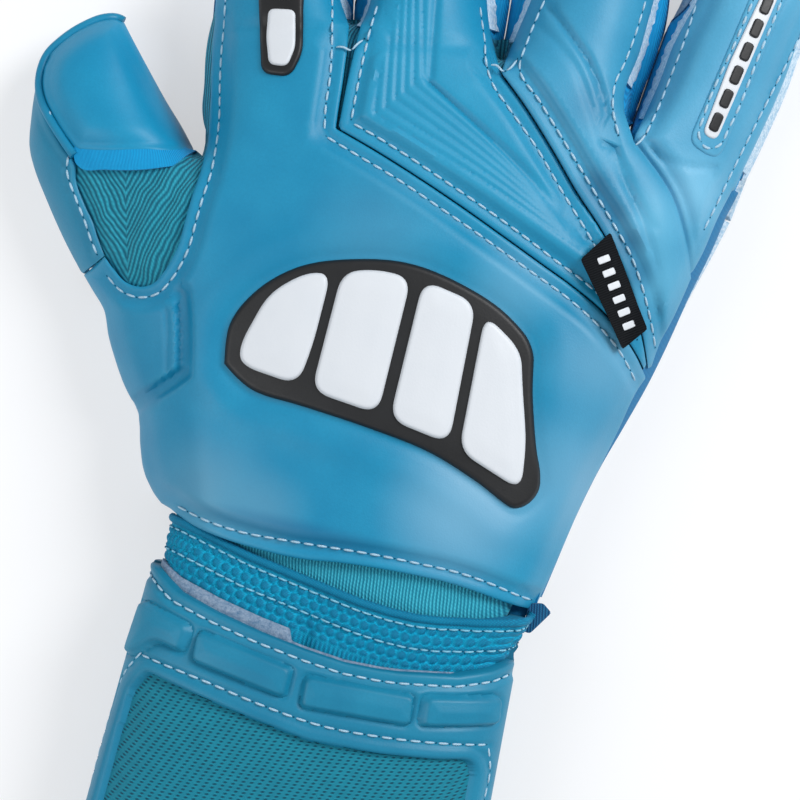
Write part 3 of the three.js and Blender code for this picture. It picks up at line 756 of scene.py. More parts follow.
THUMB_KNIT = knit("air_mesh_thumb", (4, 92, 116), (40, 154, 178), 1.15, 0.85, turn=-17, gather=-103.9)
HAND_KNIT = knit("air_mesh_hand", (6, 84, 108), (52, 152, 176), 0.95, 0.8, turn=8)
WRIST_KNIT = knit("air_mesh_wrist", (9, 117, 145), (63, 184, 208), 0.78, 0.9, turn=6)
WINDOW_KNIT = knit("air_mesh_strap", (0, 72, 94), (18, 138, 162), 0.84, 1.9, turn=96, dashed=True)
LYCRA = knit("stretch_lycra", (0, 122, 180), (8, 162, 218), 0.36, 0.3, turn=20, depth=0.06)
LYCRA_DARK = knit("stretch_lycra_side", (0, 106, 156), (0, 112, 162), 0.36, 0.3, turn=8, depth=0.03)
WEBBING = knit("wrist_webbing", (8, 104, 142), (48, 148, 184), 0.8, 0.55, turn=90, depth=0.16)
print("with knits", len(bpy.data.materials))

# %% [markdown]
# Felt, elastic, hook tape and the moulded pieces. Felt is speckled fluff between blue and lilac
# grey. The elastic's bubbles are modelled, and its finish adds yarn, painted highlight on the
# bubbles' tops and painted shade between them. The moulded black and white rubber is nearly smooth,
# with a faint orange peel and a little dust.

# %% Felt, elastic, rubber and label
def fluff(name, deep, light, depth=0.5):
    finish = Finish(name, roughness=0.9, sheen=0.5, specular=0.15)
    fibres = finish.noise(0.7, 5.0, 0.75)
    share = ((fibres * 0.7 + finish.noise(2.5, 3.0) * 0.3 - 0.36) * 3.6).clamped()
    finish.color(finish.mix(share, tint(*deep), tint(*light)))
    finish.bump(fibres, depth)
    return finish.material


def elastic():
    finish = Finish("ribbed_elastic", roughness=0.7, sheen=0.1, specular=0.2)
    yarn = (finish.x * 0.5 + finish.y + finish.z * 0.4).wave(0.5)
    cross = (finish.x - finish.y * 0.5 + finish.z * 0.8).wave(0.62)
    # Painted highlight on the bubbles' tops and painted shade in the gaps between them, mixed with the
    # yarn's own pattern.
    raised = ((finish.convex() - 0.47) * 10).clamped()
    share = (raised * 0.75 + yarn * cross * 0.35 + finish.noise(5) * 0.2 - 0.1).clamped()
    finish.color(finish.mix(share, tint(0, 106, 144), tint(2, 176, 214)))
    finish.bump(yarn * 0.5 + cross * 0.5, 0.09)
    return finish.material


def rubber(name, base, worn_to, roughness):
    finish = Finish(name, roughness=roughness, specular=0.45)
    dust = ((finish.noise(11, 4.0) - 0.45) * 1.6).clamped()
    edge = ((finish.convex() - 0.51) * 6).clamped()
    body = finish.mix(dust * 0.3, tint(*base), tint(*worn_to))
    finish.color(finish.mix(edge * 0.5, body, tint(*worn_to)))
    finish.rough(roughness - 0.05 + finish.noise(4, 3.0) * 0.16)
    finish.bump(finish.noise(0.5, 2.0), 0.03)
    return finish.material


def ribbed_label():
    finish = Finish("label_weave", roughness=0.7, specular=0.12)
    across = finish.x * 0.57 + finish.y * -0.82
    ribs = across.wave(0.55)
    yarn = (finish.x * 0.82 + finish.y * 0.57).wave(0.3)
    finish.color(finish.mix(ribs * 0.6 + yarn * 0.25, tint(3, 5, 8), tint(24, 28, 33)))
    finish.bump(ribs * 0.7 + yarn * 0.3, 0.16)
    return finish.material


FELT = fluff("speckled_felt", (84, 122, 156), (158, 176, 198))
LOOP_FELT = fluff("loop_felt", (60, 128, 160), (118, 172, 196))
HOOK_TAPE = knit("hook_tape", (70, 130, 160), (150, 196, 216), 1.3, 1.3, turn=0, depth=0.5)
ELASTIC = elastic()
BLACK_RUBBER = rubber("moulded_black", (14, 16, 19), (44, 48, 54), 0.46)
WHITE_RUBBER = rubber("moulded_white", (210, 215, 221), (190, 199, 209), 0.42)
LABEL = ribbed_label()
TAB = knit("tab_tape", (6, 62, 104), (26, 104, 146), 0.7, 0.5, turn=10, depth=0.15)
print("with rubber and tapes", len(bpy.data.materials))

# %% [markdown]
# The floor is a wide plain sheet, a little off white, that keeps the soft shadow.

# %% Floor
def bright_paper():
    """The floor looks paper white to the camera and still keeps half of each shadow."""
    finish = Finish("paper_floor", roughness=0.9, specular=0.1)
    finish.color(finish.mix(finish.noise(60, 2.0), tint(246, 247, 249), tint(249, 250, 251)))
    finish.bump(finish.noise(1.5), 0.01)
    rays = finish.node("ShaderNodeLightPath", output="Is Camera Ray")
    rays = rays.maths("MAXIMUM", finish.node("ShaderNodeLightPath", output="Is Glossy Ray"))
    rays = rays.maths("MAXIMUM", finish.node("ShaderNodeLightPath", output="Is Transmission Ray"))
    glow = finish.node("ShaderNodeEmission", values={"Color": tint(249, 250, 252), "Strength": 1.0})
    paper = Wire(finish, finish.shader.outputs[0])
    both = finish.node("ShaderNodeMixShader", values={0: rays * 0.55, 1: paper, 2: glow})
    finish.tree.links.new(both.socket, finish.tree.nodes["Material Output"].inputs["Surface"])
    return finish.material


FLOOR_HALF = 2500
floor_corners = [(x * FLOOR_HALF, y * FLOOR_HALF, -0.2) for x, y in ((-1, -1), (1, -1), (1, 1), (-1, 1))]
floor = make("floor", floor_corners, [(0, 1, 2, 3)], [bright_paper()])
print("finishes", len(bpy.data.materials))

# %% [markdown]
# The hand's inner body. Under the foam lies a stretch mesh that shows as a dark line wherever two
# panels meet. It is one slab a little smaller than the rim and a little lower than the foam.
# The fingers have their own, because a finger bends and the hand does not.

# %% Mesh body of the hand and of the fingers
PALM_TOP = 4.2


def floor_of(level):
    """An underside at one level."""
    return lambda points: np.full(len(points), float(level))


def under(depth, least=PALM_TOP + 0.3):
    """A face that lies depth millimetres below the foam's outer face, but not below a least level."""
    return lambda points: np.maximum(height(points) - depth, least)


little, ring, middle, index = (
    [on_finger(name, -3, 11), on_finger(name, -3, -11)] for name in reversed(FINGERS))
knuckles = [*little, (38.9, 77.5), *ring, (5.4, 85), *middle, (-30.6, 86), *index]
hand_line = outline(
    curve([
        (42, -38.6), (45.3, -31), (47.6, -18), (50.6, -5.4), (54, 6), (57, 17.1), (59.2, 26.6),
        (61.8, 39.9), (64.6, 51.8), (66.2, 62)], 2),
    knuckles,
    curve([
        (-61.5, 60), (-60, 50), (-58, 40), (-58.5, 25), (-62, 15), (-70, 10), (-76, 10.4), (-76.6, 8),
        (-73.4, 4), (-71.6, -1), (-68.8, -6), (-65, -12), (-60, -18.4), (-57.8, -25.8), (-55.4, -31.8),
        (-51.6, -35), (-46, -37)], 2),
)
body = slab("hand_mesh_body", hand_line, under(3.1), floor_of(PALM_TOP), HAND_KNIT, pitch=2)
declare(body)

# how far each finger's cloth reaches into the gaps on its right and on its left
WEB = {"index": (3.4, 0), "middle": (5.4, 3.2), "ring": (4, 5.4), "little": (0, 4)}
CLOTH_LEVEL = 11.2


def cloth_top(edge):
    """Under the foam inside a finger, level in the gap, and folded down along its outline."""
    def level(points):
        fold = 1 - np.clip(distance(points, edge, True) / 1.9, 0, 1)
        return np.maximum(height(points) - 3.3, CLOTH_LEVEL) - 2.4 * fold**2
    return level


for digit in FINGERS:
    line = outline(finger_edge(digit, 0.8, web=WEB[digit]),
                   curve([on_finger(digit, -5, -12), on_finger(digit, -5, 12)]))
    piece = slab(digit + "_stretch_body", line, cloth_top(line), floor_of(PALM_TOP), LYCRA, pitch=1.6)
    nodes = [digit + "_gusset_a", digit + "_gusset_b", digit + "_liner"]
    declare(piece, nodes, bend=digit)
CROTCH_MESH = {"middle": [(-29.6, 75.4), (-34.4, 79.6), (-34, 86.6), (-31, 87.6), (-27, 87), (-26, 80)],
               "ring": [(6.1, 78.4), (0.8, 84), (0.9, 89.4), (5, 91), (9.4, 91), (10.4, 83)]}
side_line = outline(
    curve([(-64.6, 84), (-65, 77), (-64.4, 70), (-63.2, 63.7), (-62.2, 57), (-60.6, 53.4), (-58.6, 51)]),
    curve([(-56, 52), (-58, 64), (-60, 76), (-61, 84)]))
side_mesh = slab("index_side_mesh", side_line, under(1.5), floor_of(PALM_TOP), HAND_KNIT, rows=(0.4, 1),
                 pitch=1.2)
declare(side_mesh, bend="index")
for digit, corners in CROTCH_MESH.items():
    piece = slab(digit + "_crotch_mesh", rounded(corners, 1), under(3, CLOTH_LEVEL + 1.2),
                 floor_of(CLOTH_LEVEL - 1.5), HAND_KNIT, rows=(0.4, 1), pitch=1.0)
    declare(piece, bend=digit)

# %% [markdown]
# The gussets' fold. Each finger's side wall is two strips of lycra sewn together along the middle
# of its height. The seam is a thin dark cord with the raw, pale edge of the palm foam below it.

# %% Gusset seams
for digit in FINGERS:
    line = kept_apart(finger_edge(digit, 0.75, web=WEB[digit])[4:-4], digit, 0.7)
    seam = tube(np.column_stack([line, np.full(len(line), 7.4)]), 0.5, 6)
    piece = make(digit + "_gusset_seam", *seam, [TAB])
    declare(piece, bend=digit)

# %% [markdown]
# The palm. It is 4 mm latex foam in one sheet for the hand and one for each finger, with a rounded
# white cut edge. The outlines are those of the rim, so the edge shows a little beyond the panels.

# %% Palm foam
PALM_THICK = 4.0


def rounded_face(edge, level, radius):
    """A level face whose edge turns down by a radius, or up by a negative one."""
    def face(points):
        d = distance(points, edge, True)
        return level - radius * (1 - np.clip(d / abs(radius), 0, 1)) ** 2
    return face


def palm_sheet(name, edge, pitch):
    """Palm foam with a pale cut edge all round and a blue face underneath."""
    return slab(name, edge, rounded_face(edge, 0.1 + PALM_THICK, 1.0), rounded_face(edge, 0.05, -0.8),
                CUT_EDGE, (0.3, 0.7, 1.2), pitch, PALM_FOAM)


palm_line = outline(
    curve([
        (42.8, -37), (44.8, -30), (47.8, -18), (51, -5.4), (54.7, 6), (58.2, 17.1), (60.7, 26.6),
        (63.6, 39.9), (66.9, 51.8), (69.2, 60.7)], 1.5),
    [on_finger(name, -6.3, w) for name in ("little", "ring", "middle", "index") for w in (12.5, -13)],
    curve([(-62.4, 62), (-60.6, 52), (-59, 46), (-58.5, 38), (-58.5, 30), (-61, 24)], 1.5),
    curve([
        (-68, 13.6), (-77.6, 9.6), (-74.8, 3.6), (-73.2, -1), (-70.4, -6), (-66.8, -11.6), (-61.8, -18),
        (-59.5, -25.5), (-57, -31.4), (-53.8, -36)], 1.5),
)
declare(palm_sheet("palm_foam", palm_line, 4), ["palm"])
for digit in FINGERS:
    tuck = (0, -1.7) if digit == "index" else (0, 0)
    right_foot = 16.4 if digit == "little" else 13
    line = outline(finger_edge(digit, 2.7, 3, 3, tuck),
                   curve([on_finger(digit, -5.8, -13), on_finger(digit, -5.8, right_foot)]))
    piece = palm_sheet(digit + "_palm_foam", line, 3)
    declare(piece, [digit + "_palm"], bend=digit)

# %% [markdown]
# Beside each finger's back the foam's raw edge shows in the gaps as a rough white band, broad on
# one side of a gap and narrow on the other. Its outer border wavers, as a torn edge does.

# %% Raw foam edges
EDGE_BROAD = {"index": (1.9, 0.4), "middle": (2.3, 1.0), "ring": (1.8, 1.2), "little": (1.4, 1.2)}
for k, digit in enumerate(FINGERS):
    inner = finger_edge(digit, -0.5, left_from=15 if digit == "index" else 5, right_from=5)
    at = np.arange(len(inner))
    ragged = 0.16 * np.sin(at * 1.9 + k) + 0.13 * np.sin(at * 0.83 + 2 * k) + 0.12 * np.sin(at * 3.1)
    right_side = step_up(-at / len(at), -0.56, -0.44)
    broad = EDGE_BROAD[digit][0] * right_side + EDGE_BROAD[digit][1] * (1 - right_side)
    broad = broad * (0.4 + 0.6 * step_up(np.abs(at / len(at) - 0.5), 0.12, 0.34))
    outer = kept_apart(beside(inner, -0.5 - broad - ragged), digit, 0.5)
    line = outline(inner, outer[::-1])
    piece = slab(digit + "_raw_edge", line, under(0.7, CLOTH_LEVEL + 0.5), under(3.2, CLOTH_LEVEL - 0.6),
                 CUT_EDGE, rows=(0.35, 0.8), pitch=0.7)
    declare(piece, bend=digit)

# %% [markdown]
# The main panel runs from the wrist over the hand and on to the index finger. Its edge is a flat
# sewn lip; past the stitches the foam swells up. A raised halo follows the patch, and an L-shaped
# channel is pressed between the hand and the side block that faces the thumb.

# %% Lines of the main panel
MAIN_BOTTOM = curve([
    (-47.6, -37.6), (-42.5, -39.4), (-34, -40.9), (-25, -41.5), (-14, -41.4), (-5, -40.2), (4, -39.5),
    (12, -39.2), (20.5, -39.2), (28, -39.9), (35, -41), (42.4, -41.9)])
MAIN_RIGHT = curve([
    (43.2, -41.3), (44.2, -36), (45.3, -31), (47, -22), (49, -12), (51, -4), (53.2, 6), (54.8, 14),
    (56.6, 18.3)])
SEAM_ONE = curve([
    (-28.6, 58.6), (-18.8, 55.5), (-4.7, 50.5), (6.9, 46), (14.7, 42.8), (25.2, 38.5), (33.1, 35.3),
    (41.8, 31), (49.6, 25.5), (56.5, 19.1)])
SLIT = 0.2
MAIN_SEAM = beside(SEAM_ONE, -SLIT)[::-1]
MAIN_CROTCH = curve([(-29, 58.8), (-29.3, 62), (-29.9, 70), (-30.6, 77)])
MAIN_LEFT = curve([
    (-63.6, 76), (-62.9, 72), (-61.2, 64), (-59.4, 55), (-58.6, 49.3), (-58, 42.3), (-58.5, 35.8),
    (-58.8, 29.4), (-59, 24.5), (-59.9, 20.4), (-61.2, 16.9), (-63.2, 13.7), (-66.3, 12.3), (-69.8, 12.6),
    (-73.6, 15), (-76.4, 17.4)])
HAND_LEFT = curve([
    (-81.6, 12.3), (-78.4, 8.7), (-74.9, 5), (-72.9, -0.4), (-70, -5.8), (-66.4, -11.5), (-61.3, -17.9),
    (-59, -25.4), (-56.6, -31.3), (-53.4, -35.2), (-50.5, -37.2)])
main_line = outline(MAIN_BOTTOM, MAIN_RIGHT, MAIN_SEAM, MAIN_CROTCH,
                    finger_edge("index", 0, left_from=6, right_from=3), MAIN_LEFT, HAND_LEFT)
SIDE_CHANNEL = curve([(-55.6, 13), (-53.4, 6), (-51.8, -1), (-51, -5.2)])
SIDE_FOOT = curve([(-51, -5.2), (-54, -8.4), (-58, -12), (-61.4, -15), (-62.6, -17)])
PATCH_RIM = curve([
    (-42, -1), (-36, -5), (-22, -6.5), (-6, -8), (10, -10.5), (24, -15.5), (33, -19), (36.5, -15),
    (33, -2), (29.5, 10), (27.5, 19), (20, 25), (8, 29.5), (-6, 31.5), (-18, 29.5), (-30, 25), (-38, 18),
    (-43, 8), (-42, -1)], 1.5)
LIP = 2.5
SWELL_FROM, SWELL_TO = 3.6, 6.2
SWELL = 1.7
print("main panel outline", len(main_line), "points")

# %% [markdown]
# A panel's top face is the height field plus what the mould pressed into it. Adding small smooth
# terms keeps each feature readable: rounding of the edge, the dent of a seam, the swelling.

# %% Relief of the main panel
def rounding(d, radius=0.7, drop=0.5):
    """How much a face falls towards its edge, as a negative height."""
    return -drop * (1 - np.clip(d / radius, 0, 1)) ** 2


def stitch_dent(d):
    """How deep the thread pulls the foam in, by the distance from the seam."""
    return 0.42 * hump(d - LIP, 0.75)


def main_top(points):
    """Swollen foam past its seams, a halo round the patch and the channel of the side block."""
    seam = np.vstack([MAIN_SEAM, MAIN_CROTCH])
    to_seam = np.minimum(distance(points, seam), distance(points, MAIN_BOTTOM))
    to_seam = np.minimum(to_seam, distance(points, MAIN_LEFT))
    to_edge = distance(points, main_line, True)
    z = height(points) + rounding(to_edge) - stitch_dent(to_seam)
    z += SWELL * step_up(to_seam, SWELL_FROM, SWELL_TO) * step_up(distance(points, HAND_LEFT), 0.5, 6)
    z += 0.9 * step_up(distance(points, MAIN_RIGHT), 2, 7) - 0.9
    patch = distance(points, PATCH_RIM, True)
    around = np.where(inside(points, PATCH_RIM), 0, patch)
    z += 0.55 * hump(around - 6.5, 3.4) - 0.45 * hump(around - 0.8, 1.5)
    side = np.vstack([SIDE_CHANNEL, SIDE_FOOT])
    z -= 1.9 * (1 - step_up(distance(points, side), 1.1, 2.5))
    z -= 0.9 * (1 - step_up(distance(points, SIDE_FOOT), 0.9, 2.1))
    z -= 0.5 * hump(distance(points, beside(SIDE_CHANNEL, -4.2)), 0.6)
    knuckle = points - np.array(on_finger("index", 2, 0))
    z -= 0.8 * hump(knuckle @ np.array((-0.2, 0.98)), 2.2) * step_up(to_edge, 3, 8)
    return z


LOWEST = PALM_TOP + 0.2
panel_under = under(2.6, LOWEST)


def main_bottom(points):
    """An underside that reaches down to the palm along the free edge at the thumb's side."""
    return np.where(distance(points, HAND_LEFT) < 1.2, LOWEST, panel_under(points))


main_panel = slab("main_panel", main_line, main_top, main_bottom, MAIN_FOAM, FINE_ROWS, 0.75)
declare(main_panel, ["back_panel", "index_back"], bend="index")

# %% [markdown]
# The knuckle panel is a V with nested, stepped chevrons that lets the fist close, and it carries
# the middle finger. Every chevron is a line from the finger to a corner and on to the V's tail.
# Each one lowers the foam a little and leaves a fine groove.

# %% Knuckle panel
SEAM_TWO = curve([
    (56.7, 20), (51.9, 29.1), (47, 37.7), (42.5, 43.5), (36.5, 50.2), (30.1, 56.3), (21.3, 65.6),
    (13, 73.9), (6.2, 80)])
KNUCKLE_LEFT = curve([(-28.9, 77), (-28.8, 70), (-28.5, 62), (-28.4, 59.4)])
KNUCKLE_FOOT = beside(SEAM_ONE, SLIT)[1:-2]
KNUCKLE_RIGHT = beside(SEAM_TWO, SLIT)[2:]
knuckle_line = outline(KNUCKLE_RIGHT, finger_edge("middle", 0, left_from=7, right_from=4), KNUCKLE_LEFT,
                       KNUCKLE_FOOT)
CHEVRONS = []
for k, corner in enumerate([
    (-20.8, 63.4), (-18.7, 65.8), (-16.9, 68.2), (-15.2, 70.4), (-13.5, 72.6), (-11.7, 75)]):
    top_of_line = on_finger("middle", 24 + 2.2 * k, -9.4 + 1.35 * k)
    tail = (37.5 - 1.9 * k, 42.2 + 1.55 * k)
    middle = (corner[0] * 0.5 + tail[0] * 0.5 - 0.5, corner[1] * 0.5 + tail[1] * 0.5 + 1.2)
    CHEVRONS.append(np.vstack([curve([top_of_line, corner]), curve([corner, middle, tail])]))
DEEP_CHEVRON = np.vstack([curve([on_finger("middle", 24, 2), (-9.9, 74)]),
                          curve([(-9.9, 74), (9.9, 63), (27.2, 51.5), (33.8, 46.2)])])


def knuckle_top(points):
    """Swollen foam with steps and fine grooves along the chevrons."""
    seam = np.vstack([KNUCKLE_LEFT, KNUCKLE_FOOT])
    to_seam = np.minimum(distance(points, seam), distance(points, KNUCKLE_RIGHT))
    to_edge = distance(points, knuckle_line, True)
    z = height(points) + rounding(to_edge) - stitch_dent(to_seam)
    z += 1.6 * step_up(to_seam, SWELL_FROM, 5.6)
    for line in CHEVRONS:
        d = distance(points, line)
        z -= 0.45 * hump(d, 0.42)
        hollow = outline(line, [(50, 110), (-8, 130)])
        z -= 0.26 * step_up(np.where(inside(points, hollow), d, -d), -0.4, 0.5)
    z -= 0.75 * hump(distance(points, DEEP_CHEVRON), 0.9)
    knuckle = points - np.array(on_finger("middle", 3, 0))
    return z - 0.5 * hump(knuckle @ np.array((-0.18, 0.98)), 2) * step_up(to_edge, 3, 8)


knuckle_panel = slab("knuckle_panel_foam", knuckle_line, knuckle_top, panel_under, KNUCKLE_FOAM, FINE_ROWS,
                     0.6)
declare(knuckle_panel, ["knuckle_panel", "middle_back"], bend="middle")

# %% [markdown]
# The outer panels cover the ring finger and the little finger. A valley runs from their crotch to
# the edge of the hand, and softer creases follow the tendons. The little finger has a sewn insert
# that carries a plate.

# %% Outer and little panels
OUTER_LEFT = beside(SEAM_TWO, -SLIT)[1:]
VALLEY = curve([(61.2, 45.2), (57, 53.2), (51.8, 61.3), (43.8, 68.7), (40.1, 71.6)])
OUTER_RIGHT = curve([(57.3, 21.4), (58, 28.2), (59.6, 34.2), (61.6, 44.2)])
outer_line = outline(OUTER_LEFT[::-1], OUTER_RIGHT, VALLEY + (-0.04, -0.04),
                     finger_edge("ring", 0, left_from=1, right_from=0))
LITTLE_RIGHT = curve([(61.9, 46.4), (62.9, 50), (64.7, 59.7), (66.6, 67.2)])
little_line = outline(LITTLE_RIGHT, finger_edge("little", 0, left_from=1, right_from=0),
                      (VALLEY + (0.04, 0.05))[::-1])
CREASES = [
    (curve([on_finger("ring", 19, -10), (19, 93.3), (25.7, 86.8), (30, 80.7), (33.2, 74.3),
            (35.4, 69.6)]), 1.3, 1.0),
    (curve([(35.4, 69.6), (40.5, 61.5), (46.5, 53), (52, 44), (55.5, 34)]), 0.9, 1.1),
    (curve([(12.5, 93), (17.6, 89.6), (22.2, 85.8), (27.6, 78), (32.9, 69.2)]), 0.5, 1.1),
    (curve([(32.9, 69.2), (39, 62), (45, 56.5), (48.9, 52.8)]), 0.4, 1.1),
]
LITTLE_CREASES = [(curve([(44.5, 71.2), (48.7, 69.1), (54.6, 69.2), (60.6, 70.6)]), 0.6, 0.8),
                  (curve([(60.6, 70.6), (62, 68.6), (61.8, 64), (60.4, 57)]), 0.35, 0.8)]
VALLEY_FOLD = 0.9


def outer_top(points):
    """Foam that falls away to the valley, with the creases of the tendons."""
    to_left = distance(points, OUTER_LEFT)
    to_edge = distance(points, outer_line, True)
    to_valley = distance(points, VALLEY)
    z = height(points) + rounding(to_edge) * step_up(to_valley, 0.3, 2) - stitch_dent(to_left)
    z += 2.0 * step_up(to_left, 4.4, 7) - 0.35 * hump(to_left - 4.4, 1)
    z += 0.9 * (step_up(to_valley, 0, 4.5) - 1) - VALLEY_FOLD * hump(to_valley, 0.9)
    for line, deep, wide in CREASES:
        z -= deep * hump(distance(points, line), wide)
    return z


def little_top(points):
    """The little finger's side of the valley."""
    to_edge = distance(points, little_line, True)
    to_valley = distance(points, VALLEY)
    free = step_up(to_valley, 0.3, 2)
    z = height(points) + (rounding(to_edge) - 0.35 * hump(to_edge - LIP, 0.8)) * free
    for line, deep, wide in LITTLE_CREASES:
        z -= deep * hump(distance(points, line), wide)
    z += 1.3 * step_up(to_edge, 2.5, 6) + 0.9 * (step_up(to_valley, 0, 4.5) - 1)
    return z - VALLEY_FOLD * hump(to_valley, 0.9)


outer_panel = slab("outer_panel_foam", outer_line, outer_top, panel_under, OUTER_FOAM, FINE_ROWS, 0.75)
declare(outer_panel, ["outer_panel", "ring_back"], bend="ring")
little_panel = slab("little_panel_foam", little_line, little_top, panel_under, LITTLE_FOAM, FINE_ROWS, 1.0)
declare(little_panel, ["little_back"], bend="little")

# %% [markdown]
# Down the outer edge of the hand runs a flat strip of dark stretch cloth between back and palm.

# %% Side strip
strip_line = outline(
    curve([
        (44.2, -38.8), (45.6, -31), (48, -18), (51, -5.4), (54.6, 6), (58, 17.1), (60.3, 26.6),
        (63, 39.9), (65.8, 51.8), (67.8, 62), (68.9, 67.6)], 1.2),
    curve([
        (65, 68), (63, 59), (60.4, 46), (57.2, 33), (55.5, 22), (52, 6), (47, -14), (43.2, -31),
        (41.8, -38.8)], 1.2),
)
side_strip = slab("side_strip", strip_line, under(1.8), floor_of(PALM_TOP), LYCRA_DARK)
declare(side_strip, ["outer_side_strip"])

# %% [markdown]
# Rounded plates. The patch, the badge and the label are outlines with soft corners, and a plate
# sits on whatever face it was moulded to.

# %% Plates
def plate(name, edge, face, low, high, finish, bevel=0.9, crown=0.0, pitch=1.2):
    """A moulded plate that stands on a face, from low to high above it."""
    def top(points):
        d = distance(points, edge, True)
        return face(points) + high - bevel * (1 - np.clip(d / bevel, 0, 1)) ** 2 + crown * step_up(d, 0, 5)

    def bottom(points):
        return face(points) + low

    return slab(name, edge, top, bottom, finish, rows=(0.12, 0.3, 0.55, 0.9, 1.4), pitch=pitch)


BLOCKS = [
    [(-39.4, 4), (-38, -0.5), (-24, -2), (-22.6, 8), (-22.2, 25), (-28, 24), (-35.4, 17.4)],
    [(-20.6, -2.6), (-4.3, -4.4), (-3.8, 28.2), (-12, 28.4), (-19.8, 26)],
    [(-1.4, -5), (13.4, -7.4), (12.2, 26), (-1, 28.4)],
    [(16, -8.5), (32.4, -14.4), (31, -3), (27, 10), (25, 17.6), (14.8, 24)],
]
rim_edge = rounded(PATCH_RIM[::3], 2, 0.7)
patch_rim = plate("patch_base", rim_edge, main_top, -0.6, 1.3, BLACK_RUBBER, 1.0, 0.15)
declare(patch_rim, ["back_patch_base"])
for k, corners in enumerate(BLOCKS, 1):
    block = plate(f"patch_block_{k}", rounded(corners, 4.5), main_top, 0.6, 2.5, WHITE_RUBBER, 0.8, 0.35)
    declare(block, [f"back_patch_block_{k}"])

# %% [markdown]
# The index finger has a small patch of the same kind, and the little finger a plate with cells.

# %% Index patch and little badge
def on_digit(name, corners):
    """Corners given along and across a finger, as places in plan."""
    return [on_finger(name, along, across) for along, across in corners]


index_rim = rounded(on_digit("index", [
    (-9, -3.6), (-10, 3.4), (-4, 6.2), (8, 6), (24, 7), (26, -3.6), (14, -5)]), 2.5)
index_rim_piece = plate("index_patch_plate", index_rim, main_top, -0.6, 1.1, BLACK_RUBBER, 0.8)
declare(index_rim_piece, ["index_patch_base"], bend="index")
INDEX_BLOCKS = [[(-7, -1.8), (-7.6, 2.6), (-3, 4.4), (6, 4.2), (6.4, -2.2), (0, -2.6)],
                [(8.6, -2.4), (8.4, 4.4), (22, 5.2), (23.6, -1.8), (15, -3.2)]]
for k, corners in enumerate(INDEX_BLOCKS, 1):
    block = plate(f"index_patch_raised_{k}", rounded(on_digit("index", corners), 1.6), main_top, 0.5, 1.9,
                  WHITE_RUBBER, 0.6)
    declare(block, [f"index_patch_block_{k}"], bend="index")

insert_edge = rounded(on_digit("little", [(3.4, 2.8), (4.4, 6.2), (50, 5.6), (50, -2.6), (4.4, -2.6)]), 3.2)
insert = plate("little_insert", insert_edge, little_top, -0.9, 0.55, LITTLE_FOAM, 0.5, 0.3)
declare(insert, bend="little")
badge_edge = rounded(on_digit("little", [(7.4, -0.2), (7.4, 3.6), (46, 3.6), (46, -0.2), (26, -1)]), 2)
badge = plate("little_badge_plate", badge_edge, little_top, 0.4, 1.3, WHITE_RUBBER, 0.4)
declare(badge, ["little_badge"], bend="little")
for k in range(6):
    start = 9 + 6.1 * k
    cell = rounded(on_digit("little", [(start, 0.5), (start, 3), (start + 4.6, 3), (start + 4.6, 0.5)]), 0.9)
    mark = plate(f"little_badge_cell_{k + 1}", cell, little_top, 1.15, 1.75, BLACK_RUBBER, 0.3)
    declare(mark, bend="little")

# %% [markdown]
# The thumb's pocket. Between the foam of the thumb and the hand lies a pocket of air mesh that
# folds softly, so that the thumb can move. Its folds are lines in plan with a soft ridge along
# each. A cloth simulation would fold it too, but it would choose the folds' places by itself.

# %% Thumb pocket
FOLDS = [curve([(-64, 44), (-66.6, 34), (-68.6, 24), (-69.6, 14)]),
         curve([(-59.4, 38), (-62.4, 28), (-66, 17)]), curve([(-84, 36), (-79, 27), (-73, 18)])]
mesh_edge = outline(
    curve([
        (-57, 45), (-56, 32), (-57, 19), (-61, 12.5), (-68, 9.5), (-76, 12), (-81, 18), (-84.5, 24),
        (-89.5, 32), (-91, 39)], 1.2),
    curve([(-90, 42), (-76, 44.5), (-62, 48)], 1.2),
)


def thumb_mesh_top(points):
    """Loose cloth a little under the foam, with a soft ridge along each fold."""
    z = height(points) - 2.1
    raised = [hump(distance(points, line), 1.8) for line in FOLDS]
    return z + 1.0 * np.max(raised, axis=0)


pocket = slab("thumb_pocket_mesh", mesh_edge, thumb_mesh_top, floor_of(PALM_TOP), THUMB_KNIT,
              rows=(0.4, 1), pitch=1.2)
declare(pocket, ["thumb_mesh", "thumb_gusset"], bend="thumb")

# %% [markdown]
# The thumb's foam. A smooth cap covers its end, a narrow lycra strip edges the cap, and palm foam
# wraps up round the outer side. The cap rises a little past its edge, as foam does when it is sewn
# round a curve, and a rounded welt closes the seam.

# %% Thumb cap and wrap
CAP_FOOT = curve([(-101.9, 59), (-101.4, 55.4), (-99.6, 51.5), (-96.6, 47.8), (-92.7, 43.8), (-88.6, 40.4)])
CAP_RIGHT = curve([(-88.6, 40.4), (-82.8, 41.2), (-73, 43.6), (-64.3, 46), (-62.2, 47.4)])
cap_line = outline(
    CAP_FOOT, CAP_RIGHT,
    curve([(-62.6, 48), (-67, 53), (-72.4, 58.6), (-79, 66.2), (-85.9, 74.2)]),
    curve([(-86.6, 74.6), (-88.4, 74.8), (-90.4, 74), (-94.8, 71.2), (-99.2, 66.6), (-101.8, 62.2)]),
)


def cap_top(points):
    """Foam that rounds down to its edge and rises a little past it."""
    to_edge = distance(points, cap_line, True)
    z = height(points) + rounding(to_edge, 1.4, 1.1)
    return z + 1.3 * step_up(to_edge, 1.2, 6) - 0.3 * hump(to_edge - 1.8, 0.8)


cap = slab("thumb_cap_foam", cap_line, cap_top, under(2, LOWEST), THUMB_FOAM, FINE_ROWS, 1.1)
declare(cap, ["thumb_cap"], bend="thumb")

